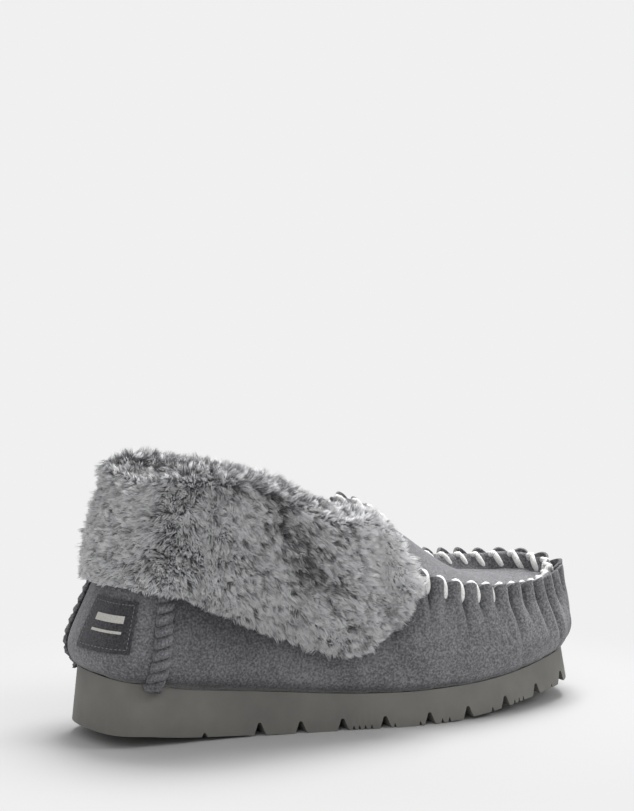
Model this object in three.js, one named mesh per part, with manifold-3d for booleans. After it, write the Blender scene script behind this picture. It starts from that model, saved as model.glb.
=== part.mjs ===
// A fleece-lined moccasin slipper for the right foot, in millimetres, with +Z up.
// The origin is on the ground under the middle of the sole.
// +X points to the toe and +Y to the big toe's side.
import * as THREE from "three";
import { mergeVertices } from "three/addons/utils/BufferGeometryUtils.js";
import Module from "manifold-3d";

// ---- Driving dimensions ----
const soleLength = 272;
const soleWidth = 97; // twice the larger half-width, at the ball
const collarHeight = 124; // top edge of the suede at the back of the heel
const toeBoxHeight = 64; // top edge of the gathered wall at the toe
const soleHeelHeight = 35; // top of the outsole at the back of the heel
const soleWaistHeight = 17.5; // top of the outsole under the arch and the ball
const soleToeHeight = 27.5; // top of the outsole at the toe tip
const heelBevel = 7; // rise of the outsole's underside at the back edge
const toeSpring = 10; // rise of the outsole's underside at the toe
const soleFlare = 2.9; // the outsole is wider at the ground than at its top edge
const sideOverhang = 5; // how far the suede bulges past the sole's top edge at the sides
const endOverhang = 9; // and at the heel and toe
const footInset = 0.4; // the upper's foot stands this far inside the sole's top edge
const bulgeHeight = 14; // height of the bulge above the sole's top edge

const suede = 1.8;
const liningPile = 7;
const liningRise = 2.6; // the lining's foot above the insole board
const liningDrop = 3.2; // the lining's head below the apron's dip
const liningRamp = 0.6; // length of the step down to it beside the throat, in stations
const liningMargin = 6; // the apron's lining ends this far inside the wall's
const counterThickness = 1.6;
const boardThickness = 1.6;
const boardMargin = 1.2; // space between the board's edge and the suede
const foamThickness = 4;
const footbedMargin = 1.5; // space between the footbed and the lining
const insolePile = 6;
const tapeThickness = 0.9;
const tapeWidth = 7;
const tapeLift = 0.5; // clearance under the tape
const tapeCover = (collarHeight - toeBoxHeight) / 70; // and over it, larger where the rim climbs more steeply
const cuffPileSide = 14;
const cuffPileHeel = 6;
const cuffFold = 11; // thickness of the fleece over the fold of the collar
const cuffThroat = 6; // and where the fold ends beside the tongue on the outer side
const cuffInnerThroat = 2.5; // and on the inner side
const cuffStandoff = 4.4; // space between the turned-down cuff and the wall
const cuffSeamSpace = 4; // space between two cuff panels

const stitchPitch = 10.5;
const cordRadius = 1.6;
const cordSlack = 0.6; // distance between the cord and the two edges it is whipped over
const cordClimb = 0.15; // share of a stitch that the cord advances on the outside
const lacingStart = 0.25; // the lacing's ends, in stations from the throat
const lacingEnd = 0.1;
const holeClearance = 0.35;
const stitchDepth = 7.6; // distance of a punched hole below the seam's edge
const apronDip = 8; // how far the apron lies below the edge it is laced to
const apronEdgeWidth = 5.5; // width over which the apron's edge turns up

const grooveDepth = 6;
const grooveWidth = 6.5;
const groovePitch = 21.7;
const firstGroove = 108; // distance of the first groove from the back of the heel, along the edge
const grooveCount = 9;

const braidWidth = 10;
const braidThickness = 3;
const braidPitch = 5.3;
const braidOverlap = 2.5; // how far the braid's end laps over the outsole
const braidTop = 104;
const braidWaist = 0.8; // share of the width, and of the thickness, between two lumps
const braidThin = 0.72;
const braidRim = 0.55; // share of the thickness at the braid's two edges
const braidStand = 0.55; // distance of the braid from the suede
const braidLap = 1.8; // and this much more where it laps over the outsole

const labelHeight = 24;
const labelBottom = 47;
const labelThickness = 0.9;
const labelGap = 0.5;
const threadInset = 2;
const threadWidth = 0.8;
const threadThickness = 0.5;

const gap = 0.3; // clearance of pieces that rest on each other
const shellGap = 0.6; // clearance between curved layers
const seamGap = 0.8; // clearance between two panels at a seam
const apronGap = suede; // room between the wall and the apron's turned-up edge
const throatRelief = 0.6; // and this much more beside the throat

// ---- Stations round the foot ----
// From the back of the heel along the outer side to the toe tip, and back along the inner side.
// Shares of half the sole's length and half its width: the sole's edge, then the upper's top edge.
// The last value is the top edge's height: 0 is toeBoxHeight and 1 is collarHeight.
const stations = [
  [-1.0, 0.0, -0.77, 0.0, 0.98],
  [-0.949, -0.6, -0.76, -0.36, 1.0],
  [-0.794, -0.716, -0.68, -0.6, 1.05],
  [-0.456, -0.716, -0.412, -0.66, 0.93],
  [-0.11, -0.87, -0.118, -0.68, 0.62],
  [0.066, -0.97, 0.051, -0.56, 0.55],
  [0.243, -1.03, 0.243, -0.866, 0.17],
  [0.53, -0.975, 0.493, -0.784, 0.02],
  [0.772, -0.73, 0.713, -0.536, -0.03],
  [0.941, -0.388, 0.882, -0.165, -0.04],
  [1.0, 0.247, 0.989, 0.227, 0.0],
  [0.941, 0.7, 0.915, 0.608, 0.05],
  [0.735, 0.948, 0.735, 0.825, 0.04],
  [0.478, 0.97, 0.485, 0.742, 0.13],
  [0.243, 0.897, 0.265, 0.53, 0.54],
  [0.066, 0.825, 0.074, 0.43, 0.7],
  [-0.11, 0.742, -0.103, 0.64, 0.62],
  [-0.456, 0.7, -0.426, 0.64, 0.93],
  [-0.794, 0.68, -0.7, 0.57, 1.04],
  [-0.949, 0.454, -0.768, 0.31, 1.0],
];
const stationCount = stations.length;
const outerThroat = 5; // station where the outer topline meets the tongue
const innerThroat = 15;
const outerHeelSeam = 1.92;
const innerHeelSeam = -1.0;
const outerCuffSeam = 2.3;
const innerCuffSeam = -1.4;
const toeTip = 10;
const stationSteps = 4; // facets from one station to the next
const collarSteps = 8; // and in the tape and the cuffs
// The upper's rows lie close where it bulges.
const rowShares = [0, 0.045, 0.1, 0.17, 0.27, 0.42, 0.68, 1];

// ---- Small mathematics ----
const up = new THREE.Vector3(0, 0, 1);
const mix = THREE.MathUtils.lerp;
const smooth = THREE.MathUtils.smoothstep;
const clamp = THREE.MathUtils.clamp;

// A smooth height over a distance, through [distance, height] pairs.
function profile(pairs) {
  const slopeAt = (i) => {
    const before = pairs[Math.max(i - 1, 0)];
    const after = pairs[Math.min(i + 1, pairs.length - 1)];
    return (after[1] - before[1]) / (after[0] - before[0]);
  };
  return (x) => {
    const last = pairs.length - 1;
    const at = clamp(x, pairs[0][0], pairs[last][0]);
    let i = 0;
    while (i < last - 1 && at > pairs[i + 1][0]) i += 1;
    const span = pairs[i + 1][0] - pairs[i][0];
    const t = (at - pairs[i][0]) / span;
    const rise = pairs[i + 1][1] - pairs[i][1];
    const a = slopeAt(i) * span - rise;
    const b = rise - slopeAt(i + 1) * span;
    return mix(pairs[i][1], pairs[i + 1][1], t) + t * (1 - t) * ((1 - t) * a + t * b);
  };
}

const halfLength = soleLength / 2;
const halfWidth = soleWidth / 2;

const soleTop = profile([
  [-halfLength, soleHeelHeight],
  [-0.66 * halfLength, mix(soleWaistHeight, soleHeelHeight, 0.48)],
  [-0.37 * halfLength, mix(soleWaistHeight, soleHeelHeight, 0.23)],
  [0, soleWaistHeight],
  [0.37 * halfLength, soleWaistHeight],
  [0.66 * halfLength, mix(soleWaistHeight, soleToeHeight, 0.33)],
  [halfLength, soleToeHeight],
]);

const soleBottom = profile([
  [-halfLength, heelBevel],
  [-0.87 * halfLength, 0.85 * heelBevel],
  [-0.73 * halfLength, 0.55 * heelBevel],
  [-0.6 * halfLength, 0.32 * heelBevel],
  [-0.4 * halfLength, 0.1 * heelBevel],
  [-0.25 * halfLength, 0],
  [-0.15 * halfLength, 0],
  [0.06 * halfLength, 0],
  [0.12 * halfLength, 0],
  [0.37 * halfLength, 0.1 * toeSpring],
  [0.66 * halfLength, 0.55 * toeSpring],
  [halfLength, toeSpring],
]);

const closedCurve = (points) => new THREE.CatmullRomCurve3(points, true, "catmullrom", 0.5);
const edgeCurve = closedCurve(
  stations.map(([along, across]) => new THREE.Vector3(along * halfLength, across * halfWidth, 0)),
);
const rimCurve = closedCurve(
  stations.map(([, , along, across, rise]) => {
    const height = mix(toeBoxHeight, collarHeight, rise);
    return new THREE.Vector3(along * halfLength, across * halfWidth, height);
  }),
);
const share = (station) => THREE.MathUtils.euclideanModulo(station / stationCount, 1);

// The sole's edge at a station, moved inwards in plan, and its outward direction.
function outward(station) {
  const tangent = edgeCurve.getTangent(share(station));
  return tangent.cross(up).normalize();
}
function edge(station, inset) {
  return edgeCurve.getPoint(share(station)).addScaledVector(outward(station), -inset);
}

// ---- The upper's outer surface ----
// v runs from 0 at the sole's top edge to 1 at the upper's top edge.
function skin(station, v) {
  const foot = edge(station, soleFlare + footInset);
  foot.z = soleTop(foot.x) + gap;
  const rim = rimCurve.getPoint(share(station));
  const endness = Math.pow(Math.abs(foot.x) / halfLength, 4);
  const overhang = mix(sideOverhang, endOverhang, endness);
  const peak = (v * (rim.z - foot.z)) / bulgeHeight;
  const bulge = overhang * peak * Math.exp(1 - peak);
  return foot.lerp(rim, v).addScaledVector(outward(station), bulge);
}

function skinNormal(station, v) {
  const dt = 0.02;
  const dv = 0.01;
  const along = skin(station + dt, v).sub(skin(station - dt, v));
  const upward = skin(station, Math.min(v + dv, 1)).sub(skin(station, Math.max(v - dv, 0)));
  return along.cross(upward).normalize();
}

// A point at a depth under the outer surface; a negative depth stands outside it.
function under(station, v, depth) {
  return skin(station, v).addScaledVector(skinNormal(station, v), -depth);
}

// The share v at which the outer surface reaches a height.
function shareAt(station, height) {
  const low = skin(station, 0).z;
  const high = skin(station, 1).z;
  return (height - low) / (high - low);
}

// ---- Solids ----
const wasm = await Module();
wasm.setup();

function toManifold(geometry) {
  const bare = geometry.clone();
  bare.deleteAttribute("normal");
  bare.deleteAttribute("uv");
  const merged = mergeVertices(bare, 1e-4);
  return new wasm.Manifold(
    new wasm.Mesh({
      numProp: 3,
      vertProperties: merged.attributes.position.array,
      triVerts: new Uint32Array(merged.index.array),
    }),
  );
}

function toGeometry(solid) {
  const mesh = solid.getMesh();
  const geometry = new THREE.BufferGeometry();
  geometry.setAttribute("position", new THREE.BufferAttribute(mesh.vertProperties, 3));
  geometry.setIndex(new THREE.BufferAttribute(mesh.triVerts, 1));
  return geometry;
}

// Moves each vertex of a geometry to place(x, y, z).
function reshape(geometry, place) {
  const positions = geometry.attributes.position;
  for (let i = 0; i < positions.count; i += 1) {
    const p = place(positions.getX(i), positions.getY(i), positions.getZ(i));
    positions.setXYZ(i, p.x, p.y, p.z);
  }
  return geometry;
}

// A closed sheet: a box of nu by nv cells whose corners place(u, v, w) puts, with u, v and w from 0 to 1.
function sheet(nu, nv, place) {
  const box = new THREE.BoxGeometry(1, 1, 1, nu, nv, 1);
  return reshape(box, (x, y, z) => place(x + 0.5, y + 0.5, z + 0.5));
}

// A layer of the upper between two stations and two depths, with its lower and upper share v.
// All layers keep the same rows, so that their facets lie parallel.
function layer(from, to, depthIn, depthOut, low, high) {
  const steps = Math.max(2, Math.round((to - from) * stationSteps));
  const rows = rowShares.length - 1;
  const squeeze = 0.004;
  return sheet(steps, rows, (u, v, w) => {
    const station = mix(from, to, u);
    const row = Math.round(v * rows);
    const lowest = low(station) + squeeze * row;
    const highest = high(station) - squeeze * (rows - row);
    const at = Math.min(Math.max(rowShares[row], lowest), highest);
    return under(station, at, mix(depthIn, depthOut, w));
  });
}

// A slab that fills the sole's outline, moved inwards by a different amount at its bottom and top.
function slab(steps, insetLow, insetHigh, bottom, top) {
  const start = 0.12;
  return sheet(steps, 2, (u, v, w) => {
    const turn = (1 - Math.cos(Math.PI * u)) / 2;
    const reach = mix(start, toeTip - start, mix(u, turn, 0.5));
    const inset = mix(insetLow, insetHigh, w);
    const outer = edge(reach, inset);
    const inner = edge(-reach, inset);
    const p = outer.lerp(inner, v);
    p.z = mix(bottom(p.x), top(p.x), w);
    return p;
  });
}

function tube(points, radius, sides, steps) {
  const section = new THREE.Shape();
  for (let i = 0; i < sides; i += 1) {
    const a = (2 * Math.PI * i) / sides;
    const x = radius * Math.cos(a);
    const y = radius * Math.sin(a);
    if (i === 0) section.moveTo(x, y);
    else section.lineTo(x, y);
  }
  section.closePath();
  const path = new THREE.CatmullRomCurve3(points, false, "catmullrom", 0.5);
  return new THREE.ExtrudeGeometry(section, { steps, extrudePath: path, curveSegments: 1 });
}

// ---- Outsole ----
function grooveStations() {
  const lengths = [];
  const samples = 400;
  let travelled = 0;
  let last = edge(0, 0);
  for (let i = 1; i <= samples; i += 1) {
    const station = (toeTip * i) / samples;
    const here = edge(station, 0);
    travelled += here.distanceTo(last);
    last = here;
    const next = firstGroove + groovePitch * lengths.length;
    if (travelled >= next && lengths.length < grooveCount) lengths.push(station);
  }
  return lengths;
}

// A V-shaped bar with a rounded crest, pressed up into the underside from one edge to the other.
function grooveBar(station) {
  const reach = 12;
  const outer = edge(station, -reach);
  const inner = edge(2 * toeTip - station, -reach);
  const length = outer.distanceTo(inner);
  const below = 3;
  const mouth = grooveWidth / 2 + 0.4 * below;
  const crest = 0.16 * grooveWidth;
  const section = new THREE.Shape();
  section.moveTo(-mouth, -below);
  section.lineTo(mouth, -below);
  section.lineTo(crest, 0.9 * grooveDepth);
  section.lineTo(0, grooveDepth);
  section.lineTo(-crest, 0.9 * grooveDepth);
  section.closePath();
  const bar = new THREE.ExtrudeGeometry(section, { depth: length, bevelEnabled: false, steps: 1 });
  const direction = inner.clone().sub(outer).normalize();
  const sideways = new THREE.Vector3().crossVectors(up, direction);
  const frame = new THREE.Matrix4().makeBasis(sideways, up, direction);
  const middle = outer.clone().lerp(inner, 0.5);
  outer.z = soleBottom(middle.x);
  frame.setPosition(outer);
  return bar.applyMatrix4(frame);
}

function outsole() {
  let solid = toManifold(slab(40, 0, soleFlare, soleBottom, soleTop));
  for (const station of grooveStations()) {
    solid = solid.subtract(toManifold(grooveBar(station)));
  }
  return toGeometry(solid);
}

// ---- Layers under the foot ----
const boardBottom = (x) => soleTop(x) + gap;
const boardTop = (x) => boardBottom(x) + boardThickness;
const foamBottom = (x) => boardTop(x) + gap;
const foamTop = (x) => foamBottom(x) + foamThickness;
const insoleBottom = (x) => foamTop(x) + gap;
const insoleTop = (x) => insoleBottom(x) + insolePile;
const boardInset = soleFlare + suede + boardMargin;
const liningOuter = suede + shellGap;
const liningInner = liningOuter + liningPile;
const footbedInset = soleFlare + liningInner + footbedMargin;

// ---- Upper ----
const full = () => 1;
const base = () => 0;
// The length of one station at the heel seam.
const heelStation = edge(outerHeelSeam - 0.5, 0).distanceTo(edge(outerHeelSeam + 0.5, 0));
const halfSeam = seamGap / 2 / heelStation;
const wallFrom = outerHeelSeam + halfSeam;
const wallTo = stationCount + innerHeelSeam - halfSeam;
const liningFoot = (station) => shareAt(station, skin(station, 0).z + boardThickness + liningRise);

// The lining stops under the apron's turned-up edge in front of the throat.
function liningHead(station) {
  const rim = skin(station, 1).z;
  const intoApron = smooth(station, outerThroat - liningRamp, outerThroat);
  const outOfApron = smooth(station, innerThroat, innerThroat + liningRamp);
  const drop = mix(1, apronDip + liningDrop, intoApron * (1 - outOfApron));
  return shareAt(station, rim - drop);
}

function wall() {
  return toManifold(layer(wallFrom, wallTo, suede, 0, base, full));
}
// Towards the foot the linings' ends come closer together, so they stop a little short of the seam.
const liningShort = (0.07 * liningPile) / heelStation;
function wallLining() {
  const from = wallFrom + liningShort;
  return layer(from, wallTo - liningShort, liningInner, liningOuter, liningFoot, liningHead);
}
const heelFrom = innerHeelSeam + halfSeam;
const heelTo = outerHeelSeam - halfSeam;
function heelPanel() {
  return layer(heelFrom, heelTo, suede, 0, base, full);
}
function heelCounter() {
  const inner = suede + shellGap + counterThickness;
  const high = (station) => shareAt(station, 0.55 * collarHeight);
  return layer(heelFrom, heelTo, inner, suede + shellGap, liningFoot, high);
}
function heelLining() {
  const outer = suede + 2 * shellGap + counterThickness;
  const from = heelFrom + liningShort;
  return layer(from, heelTo - liningShort, outer + liningPile, outer, liningFoot, liningHead);
}

// ---- Apron ----
// A patch between the two laced edges, from the tongue's top (s = 0) to the toe (s = 1).
const toeArc = 0.62; // the patch's toe side spans this many stations each way from the toe tip
// The patch's rough size:
const apronAcross = seamPoint(outerThroat + 2).distanceTo(seamPoint(innerThroat - 2));
const apronLong = seamPoint(outerThroat).distanceTo(seamPoint(toeTip));
function seamPoint(station) {
  const fromThroat = Math.min(Math.abs(station - outerThroat), Math.abs(station - innerThroat));
  const extra = throatRelief * (1 - smooth(fromThroat, 0, 0.8));
  return under(station, 1, suede + apronGap + extra);
}
const apronCrown = profile([
  [0, 10.5],
  [0.12, 11],
  [0.3, 10],
  [0.45, 7.5],
  [0.6, 3.5],
  [0.8, 1.5],
  [1, 1],
]);
function apronPatch(s, t, edgeShare) {
  const outer = seamPoint(mix(outerThroat, toeTip - toeArc, s));
  const inner = seamPoint(mix(innerThroat, toeTip + toeArc, s));
  const top = seamPoint(outerThroat).lerp(seamPoint(innerThroat), t);
  const toe = seamPoint(mix(toeTip - toeArc, toeTip + toeArc, t));
  const corners = top.clone().lerp(
    seamPoint(toeTip - toeArc).lerp(seamPoint(toeTip + toeArc), t),
    s,
  );
  const p = outer.lerp(inner, t).add(top.lerp(toe, s)).sub(corners);
  p.z += apronCrown(s) * Math.pow(Math.sin(Math.PI * t), 0.8) - apronDip * edgeShare;
  return p;
}

// u and v are shares of the apron's grid; both are spaced so that rows lie close to the laced edge.
function apronPoint(u, v, inset) {
  const hem = inset / apronAcross;
  const t = mix(hem, 1 - hem, (1 - Math.cos(Math.PI * v)) / 2);
  const s = mix(0, 1 - inset / apronLong, mix(u, Math.sin((Math.PI * u) / 2), 0.6));
  const fromEdge = Math.min(t * apronAcross, (1 - t) * apronAcross, (1 - s) * apronLong);
  return apronPatch(s, t, smooth(fromEdge, 0, apronEdgeWidth));
}

function apronNormal(u, v, inset) {
  const d = 0.01;
  const along = apronPoint(Math.min(u + d, 1), v, inset).sub(apronPoint(Math.max(u - d, 0), v, inset));
  const across = apronPoint(u, Math.min(v + d, 1), inset).sub(apronPoint(u, Math.max(v - d, 0), inset));
  return along.cross(across).normalize();
}

function apronLayer(nu, nv, inset, low, high) {
  return sheet(nu, nv, (u, v, w) => {
    const normal = apronNormal(u, v, inset);
    return apronPoint(u, v, inset).addScaledVector(normal, mix(low, high, w));
  });
}
function apron() {
  return toManifold(apronLayer(20, 10, 0, 0, suede));
}
function apronLining() {
  const inset = liningPile + liningMargin;
  return apronLayer(16, 6, inset, -shellGap - liningPile, -shellGap);
}

// ---- Lacing ----
// One cord whipped over the laced edge, from the inner throat round the toe to the outer one:
// up the outside, over, and slanting down the inside to the next hole.
function lacingPoints() {
  const from = outerThroat + lacingStart;
  const to = innerThroat - lacingEnd;
  const samples = 600;
  const lengths = [0];
  let last = rimCurve.getPoint(share(from));
  for (let i = 1; i <= samples; i += 1) {
    const here = rimCurve.getPoint(share(mix(from, to, i / samples)));
    lengths.push(lengths[i - 1] + here.distanceTo(last));
    last = here;
  }
  const total = lengths[samples];
  const stitches = Math.round(total / stitchPitch);
  const stationAt = (distance) => {
    let i = 0;
    while (i < samples - 1 && lengths[i + 1] < distance) i += 1;
    const step = (distance - lengths[i]) / (lengths[i + 1] - lengths[i]);
    return mix(from, to, (i + step) / samples);
  };
  const perTurn = 6;
  const halfSpan = (2 * suede + apronGap) / 2;
  const wide = halfSpan + cordRadius + cordSlack;
  const high = (stitchDepth + cordRadius + cordSlack) / 2;
  const points = [];
  for (let i = 0; i <= stitches * perTurn; i += 1) {
    const turn = i / perTurn;
    const phase = turn - Math.floor(turn);
    const over = Math.max(phase - 0.5, 0);
    const advance = cordClimb * Math.min(phase, 0.5) + (2 - cordClimb) * over;
    const left = Math.max(1 - (Math.floor(turn) + advance) / stitches, 0);
    const station = stationAt(left * total);
    const out = skinNormal(station, 1);
    const rise = up.clone().addScaledVector(out, -up.dot(out)).normalize();
    const centre = skin(station, 1).addScaledVector(out, -halfSpan);
    centre.addScaledVector(rise, high - stitchDepth);
    const angle = 2 * Math.PI * phase - Math.PI / 2;
    centre.addScaledVector(out, wide * Math.cos(angle));
    points.push(centre.addScaledVector(rise, high * Math.sin(angle)));
  }
  return points;
}

// ---- Braids over the heel seams ----
function braid(station) {
  const sole = skin(station, 0).z;
  const bottom = sole - braidOverlap;
  const lumps = Math.round((braidTop - bottom) / braidPitch);
  const stepsPerLump = 3;
  const lapStart = 1.5; // above the sole's edge
  const widthShare = braidWidth / heelStation;
  return sheet(lumps * stepsPerLump, 2, (u, v, w) => {
    const height = mix(bottom, braidTop, u);
    const lump = 0.5 - 0.5 * Math.cos(2 * Math.PI * u * lumps);
    const across = (0.5 - v) * widthShare * mix(braidWaist, 1, lump);
    const crown = mix(braidRim, 1, Math.sin(Math.PI * v));
    const thick = braidThickness * mix(braidThin, 1, lump) * crown;
    const at = Math.max(shareAt(station + across, height), 0);
    const below = Math.max(sole - height, 0);
    const lap = smooth(below, -lapStart, braidOverlap) * braidLap;
    const p = under(station + across, at, -braidStand);
    p.addScaledVector(outward(station + across), lap + w * thick);
    p.z -= below;
    return p;
  });
}

// ---- Heel label ----
const labelFrom = 0.17; // in stations
const labelTo = 1.3;
const labelSteps = 14;
const labelRows = 4;
function labelPoint(u, v, depth) {
  const station = mix(labelFrom, labelTo, u);
  const height = labelBottom + labelHeight * v;
  return under(station, shareAt(station, height), depth);
}
function label() {
  return sheet(labelSteps, labelRows, (u, v, w) => labelPoint(u, v, -labelGap - w * labelThickness));
}
// The thread runs round the label at an inset, as a ring with a diamond section.
function threadRing() {
  const labelWidth = labelPoint(0, 0.5, 0).distanceTo(labelPoint(1, 0.5, 0));
  const rectangle = (inset) => {
    const left = inset / labelWidth;
    const low = inset / labelHeight;
    const corners = [
      [left, low],
      [1 - left, low],
      [1 - left, 1 - low],
      [left, 1 - low],
    ];
    return corners.flatMap(([u, v], i) => {
      const [nextU, nextV] = corners[(i + 1) % corners.length];
      const steps = v === nextV ? labelSteps : labelRows;
      const at = (k) => [mix(u, nextU, k / steps), mix(v, nextV, k / steps)];
      return Array.from({ length: steps }, (_, k) => at(k));
    });
  };
  const count = 2 * (labelSteps + labelRows);
  const ring = new THREE.TorusGeometry(2, 1, 4, count);
  const floor = -2 * labelGap - labelThickness;
  return reshape(ring, (x, y, z) => {
    const turn = THREE.MathUtils.euclideanModulo(Math.atan2(y, x) / (2 * Math.PI), 1);
    const outer = (Math.hypot(x, y) - 1) / 2;
    const [u, v] = rectangle(threadInset + threadWidth * (1 - outer))[Math.round(turn * count) % count];
    return labelPoint(u, v, floor - (threadThickness * (1 + z)) / 2);
  });
}

// ---- Collar ----
// Heights of the cuff's hem round the collar.
const outerHem = profile([
  [0, 75],
  [1, 76],
  [2, 74],
  [2.5, 66],
  [3, 56],
  [4, 39],
  [4.6, 42],
  [5.1, 47],
  [5.5, 54],
  [5.9, 63],
]);
const innerHem = profile([
  [0, 75],
  [1, 76],
  [1.6, 74],
  [2.5, 64],
  [3, 56],
  [4, 41],
  [4.5, 46],
  [5.1, 62],
  [5.45, 80],
]);
// Mirrors a station to the outer side, so that one rule serves both sides.
const mirrored = (station) => (station > toeTip ? stationCount - station : Math.abs(station));

function hemHeight(station) {
  const inner = station < 0 || station > toeTip;
  return inner ? innerHem(mirrored(station)) : outerHem(mirrored(station));
}

// The cuff's section starts inside the collar, turns over the top edge and hangs outside it.
const foldShare = 0.3; // share of the section that lies over the top edge
const foldLean = 1.25; // how fast the fleece on the fold turns from outwards to upwards, in radians
const cuffInset = 0.5; // space between the cuff's inner end and the lining
const throatInset = 0.6; // the same distance at the throat, from the suede
const throatRamp = 0.7; // length of the cuff's thinning towards the throat, in stations
const innerThroatRamp = 1.4;
const throatLift = 2.4; // rise of the cuff over the lacing's ends
const innerThroatLift = 1.2;
const tapeSeat = tapeLift + tapeThickness + tapeCover;
const hemRounding = 0.72; // share of the hanging part from which the fleece rounds in to the hem
const hemThickness = 0.35; // share of the fleece's thickness at the hem
function cuffPoint(station, v, w) {
  const near = mirrored(station);
  const isInner = station < 0;
  const pile = mix(cuffPileHeel, cuffPileSide, smooth(near, 0.6, 2.2));
  const top = skin(station, 1);
  const out = outward(station);
  const ramp = isInner ? innerThroatRamp : throatRamp;
  const throat = smooth(near, outerThroat - ramp, outerThroat - 0.05);
  const lift = tapeSeat + throat * (isInner ? innerThroatLift : throatLift);
  if (v < foldShare) {
    const angle = (Math.PI / 2) * (1 - v / foldShare);
    const reach = mix(liningInner + cuffInset, throatInset, throat) + cuffStandoff;
    const p = top.addScaledVector(out, cuffStandoff - reach * Math.sin(angle));
    const ending = isInner ? cuffInnerThroat : cuffThroat;
    const thick = mix(pile, mix(cuffFold, ending, throat), Math.sin(angle)) * w;
    const lean = Math.min(Math.sin(angle) * foldLean, Math.PI / 2);
    p.addScaledVector(out, thick * Math.cos(lean));
    p.z += lift + thick * Math.sin(lean);
    return p;
  }
  const fall = (v - foldShare) / (1 - foldShare);
  const at = clamp(mix(1, shareAt(station, hemHeight(station)), fall), 0, 1);
  const p = under(station, at, -cuffStandoff);
  p.z += lift * (1 - smooth(fall, 0, 0.4));
  const turned = clamp((fall - hemRounding) / 0.3, 0, 1);
  const round = Math.sqrt(1 - turned * turned);
  p.addScaledVector(skinNormal(station, at), pile * w * mix(hemThickness, 1, round));
  return p;
}

// from and to give the cuff's two ends as stations, each at a share of the section.
function cuff(from, to) {
  const steps = Math.round((to(0) - from(0)) * collarSteps);
  return sheet(steps, 8, (u, v, w) => {
    const down = 1 - v;
    return cuffPoint(mix(from(down), to(down), u), down, w);
  });
}
// The cuff's front edge leans forward as it comes down from the tongue, and ends in a round corner.
const frontEdge = profile([
  [0, outerThroat - 0.1],
  [0.3, outerThroat + 0.55],
  [0.5, outerThroat + 0.78],
  [0.7, outerThroat + 0.84],
  [1, outerThroat + 0.6],
]);
const innerFrontEdge = profile([
  [0, outerThroat - 0.6],
  [0.3, outerThroat - 0.15],
  [0.5, outerThroat + 0.3],
  [0.7, outerThroat + 0.5],
  [1, outerThroat + 0.35],
]);
const cuffSeamGap = cuffSeamSpace / 2 / heelStation; // in stations
// The panels' ends part a little more towards the inside of the fold, where the collar's radius is smaller.
const seamSplay = 4;
const splayed = (v) => cuffSeamGap * (1 + seamSplay * Math.max(1 - v / foldShare, 0));
const outerSeam = (side) => (v) => outerCuffSeam + side * splayed(v);
const innerSeam = (side) => (v) => innerCuffSeam + side * splayed(v);

const tapeInnerEnd = -4.1; // in stations
const tapeOuterEnd = 4.5;
const tapeEdge = 0.2; // distance of the tape from the suede's outer face
function toplineTape(from, to) {
  const steps = Math.round((to - from) * collarSteps);
  return sheet(steps, 1, (u, v, w) => {
    const station = mix(from, to, u);
    const p = skin(station, 1).addScaledVector(outward(station), -mix(tapeEdge, tapeWidth, v));
    p.z += tapeLift + w * tapeThickness;
    return p;
  });
}

// ---- Assembly ----
const suedeGrey = 0x77777a;
const fleeceGrey = 0x8b8b8d;
const slipper = new THREE.Group();
slipper.name = "slipper";

function piece(name, geometry, color, roughness) {
  const material = new THREE.MeshStandardMaterial({ color, roughness, metalness: 0 });
  const mesh = new THREE.Mesh(geometry, material);
  mesh.name = name;
  slipper.add(mesh);
}

const lacingPath = lacingPoints();
const lacingSteps = lacingPath.length - 1;
const lacing = tube(lacingPath, cordRadius, 5, lacingSteps);
const punched = toManifold(tube(lacingPath, cordRadius + holeClearance, 5, lacingSteps));
// Punches the lacing's holes through a panel and drops the offcuts.
function punch(panel) {
  const bodies = panel.subtract(punched).simplify(0.02).decompose();
  return toGeometry(bodies.reduce((a, b) => (b.volume() > a.volume() ? b : a)));
}

piece("outsole", outsole(), 0x6e6d68, 0.6);
piece("insole_board", slab(30, boardInset, boardInset, boardBottom, boardTop), 0xb09a78, 0.9);
piece("footbed_foam", slab(30, footbedInset, footbedInset, foamBottom, foamTop), 0xd8d6d0, 0.9);
piece("fleece_insole", slab(30, footbedInset, footbedInset, insoleBottom, insoleTop), fleeceGrey, 1);
piece("vamp_wall", punch(wall()), suedeGrey, 0.95);
piece("heel_panel", heelPanel(), suedeGrey, 0.95);
piece("apron", punch(apron()), suedeGrey, 0.95);
piece("apron_lacing", lacing, 0xe4e4e2, 0.6);
piece("wall_lining", wallLining(), fleeceGrey, 1);
piece("heel_lining", heelLining(), fleeceGrey, 1);
piece("apron_lining", apronLining(), fleeceGrey, 1);
piece("heel_counter", heelCounter(), 0xc9c2b2, 0.8);
piece("heel_braid_outer", braid(outerHeelSeam), suedeGrey, 0.95);
piece("heel_braid_inner", braid(stationCount + innerHeelSeam), suedeGrey, 0.95);
piece("heel_label", label(), 0x48484c, 0.9);
piece("label_thread", threadRing(), 0x2e2e31, 0.7);
piece("cuff_outer", cuff(outerSeam(1), frontEdge), fleeceGrey, 1);
piece("cuff_heel", cuff(innerSeam(1), outerSeam(-1)), fleeceGrey, 1);
piece("cuff_inner", cuff((v) => -innerFrontEdge(v), innerSeam(-1)), fleeceGrey, 1);
piece("topline_tape", toplineTape(tapeInnerEnd, tapeOuterEnd), 0xa9a9a6, 0.9);

export default slipper;
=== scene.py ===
import math

import bpy
import numpy as np
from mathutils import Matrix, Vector
from mathutils.kdtree import KDTree


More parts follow.
